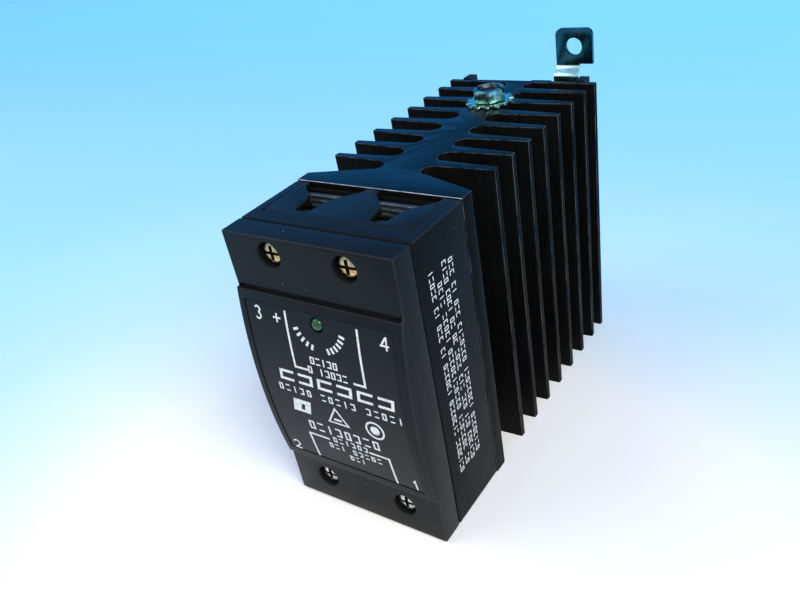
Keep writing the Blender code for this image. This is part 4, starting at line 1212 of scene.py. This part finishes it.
def world():
    """Surroundings that run from grey in front to blue behind, with a blue glow behind and above."""
    made = bpy.data.worlds.new("studio")
    made.use_nodes = True
    tree = made.node_tree
    background = tree.nodes["Background"]
    direction = tree.nodes.new("ShaderNodeTexCoord").outputs["Generated"]

    def facing(way, low, high, stops):
        dot = tree.nodes.new("ShaderNodeVectorMath")
        dot.operation = "DOT_PRODUCT"
        dot.inputs[1].default_value = Vector(way).normalized()
        tree.links.new(direction, dot.inputs[0])
        share = tree.nodes.new("ShaderNodeMapRange")
        share.inputs["From Min"].default_value = low
        share.inputs["From Max"].default_value = high
        tree.links.new(dot.outputs["Value"], share.inputs["Value"])
        ramp = tree.nodes.new("ShaderNodeValToRGB")
        while len(ramp.color_ramp.elements) < len(stops):
            ramp.color_ramp.elements.new(0.5)
        for element, (position, colour) in zip(ramp.color_ramp.elements, stops):
            element.position = position
            element.color = (*colour, 1.0)
        tree.links.new(share.outputs["Result"], ramp.inputs["Fac"])
        return ramp.outputs["Color"]

    front_to_back = ((0.0, (0.50, 0.51, 0.52)), (0.5, (0.26, 0.32, 0.40)), (1.0, (0.03, 0.14, 0.34)))
    blue_glow = ((0.0, (0, 0, 0)), (0.4, (0.0, 0.05, 0.16)), (0.85, (0.0, 0.22, 0.62)))
    room = facing((0, 1, 0), -0.5, 0.5, front_to_back)
    glow = facing((-0.53, 0.66, 0.55), 0.35, 1.0, blue_glow)
    total = tree.nodes.new("ShaderNodeMix")
    total.data_type = "RGBA"
    total.blend_type = "ADD"
    total.inputs["Factor"].default_value = 1.0
    tree.links.new(room, total.inputs[6])
    tree.links.new(glow, total.inputs[7])
    tree.links.new(total.outputs[2], background.inputs["Color"])
    scene.world = made


def area_light(name, place_at, target, size, power, colour):
    light = bpy.data.lights.new(name, "AREA")
    light.shape = "RECTANGLE"
    light.size, light.size_y = size
    light.energy = power
    light.color = colour
    lamp_object = bpy.data.objects.new(name, light)
    scene.collection.objects.link(lamp_object)
    lamp_object.location = place_at
    way = Vector(target) - Vector(place_at)
    lamp_object.rotation_euler = way.to_track_quat("-Z", "Y").to_euler()


def lights():
    target = (0, 0, 0.04)
    area_light("right_softbox", (3.4, -1.6, 3.6), target, (3.4, 3.4), 300.0, (1.0, 0.97, 0.93))
    area_light("left_softbox", (-3.0, -1.8, 3.6), target, (3.2, 3.2), 72.0, (1.0, 0.98, 0.95))


EYE = (100.72, -95.82, 143.17)    # millimetres: x from the middle, y from the front plane, z from the floor
LOOKING = (-0.52849, 0.65504, -0.54001)
ROLL = -10.85
FOCAL_LENGTH, SHIFT = 34.31, (-0.01, 0.027)


def camera():
    """Seen close up from the front right and above, with a slight roll."""
    data = bpy.data.cameras.new("camera")
    data.sensor_width = 36.0
    data.lens = FOCAL_LENGTH
    data.shift_x, data.shift_y = SHIFT
    data.clip_start = 0.01
    viewer = bpy.data.objects.new("camera", data)
    scene.collection.objects.link(viewer)
    eye = Vector((EYE[0], FRONT + EYE[1], EYE[2])) * MM
    forward = Vector(LOOKING).normalized()
    level = forward.cross(Vector((0, 0, 1))).normalized()
    roll = Matrix.Rotation(math.radians(ROLL), 3, -forward)
    right = roll @ level
    up = right.cross(forward)
    rotation = Matrix((right, up, -forward)).transposed().to_4x4()
    viewer.matrix_world = Matrix.Translation(eye) @ rotation
    scene.camera = viewer
    scene.view_settings.view_transform = "Standard"


def main():
    front_cover()
    label()
    base()
    wire_guide("top_wire_guide", True)
    wire_guide("bottom_wire_guide", False)
    for number in SCREWS:
        terminal_screw(number)
        cage(number)
    heat_sink()
    ground_washer()
    ground_screw()
    latch()
    spring()
    lamp()
    diagram()
    lamp_legend()
    legends()
    side_notice()
    carried_nodes()
    stage()
    world()
    lights()
    camera()


main()
bpy.data.collections.remove(cutters)
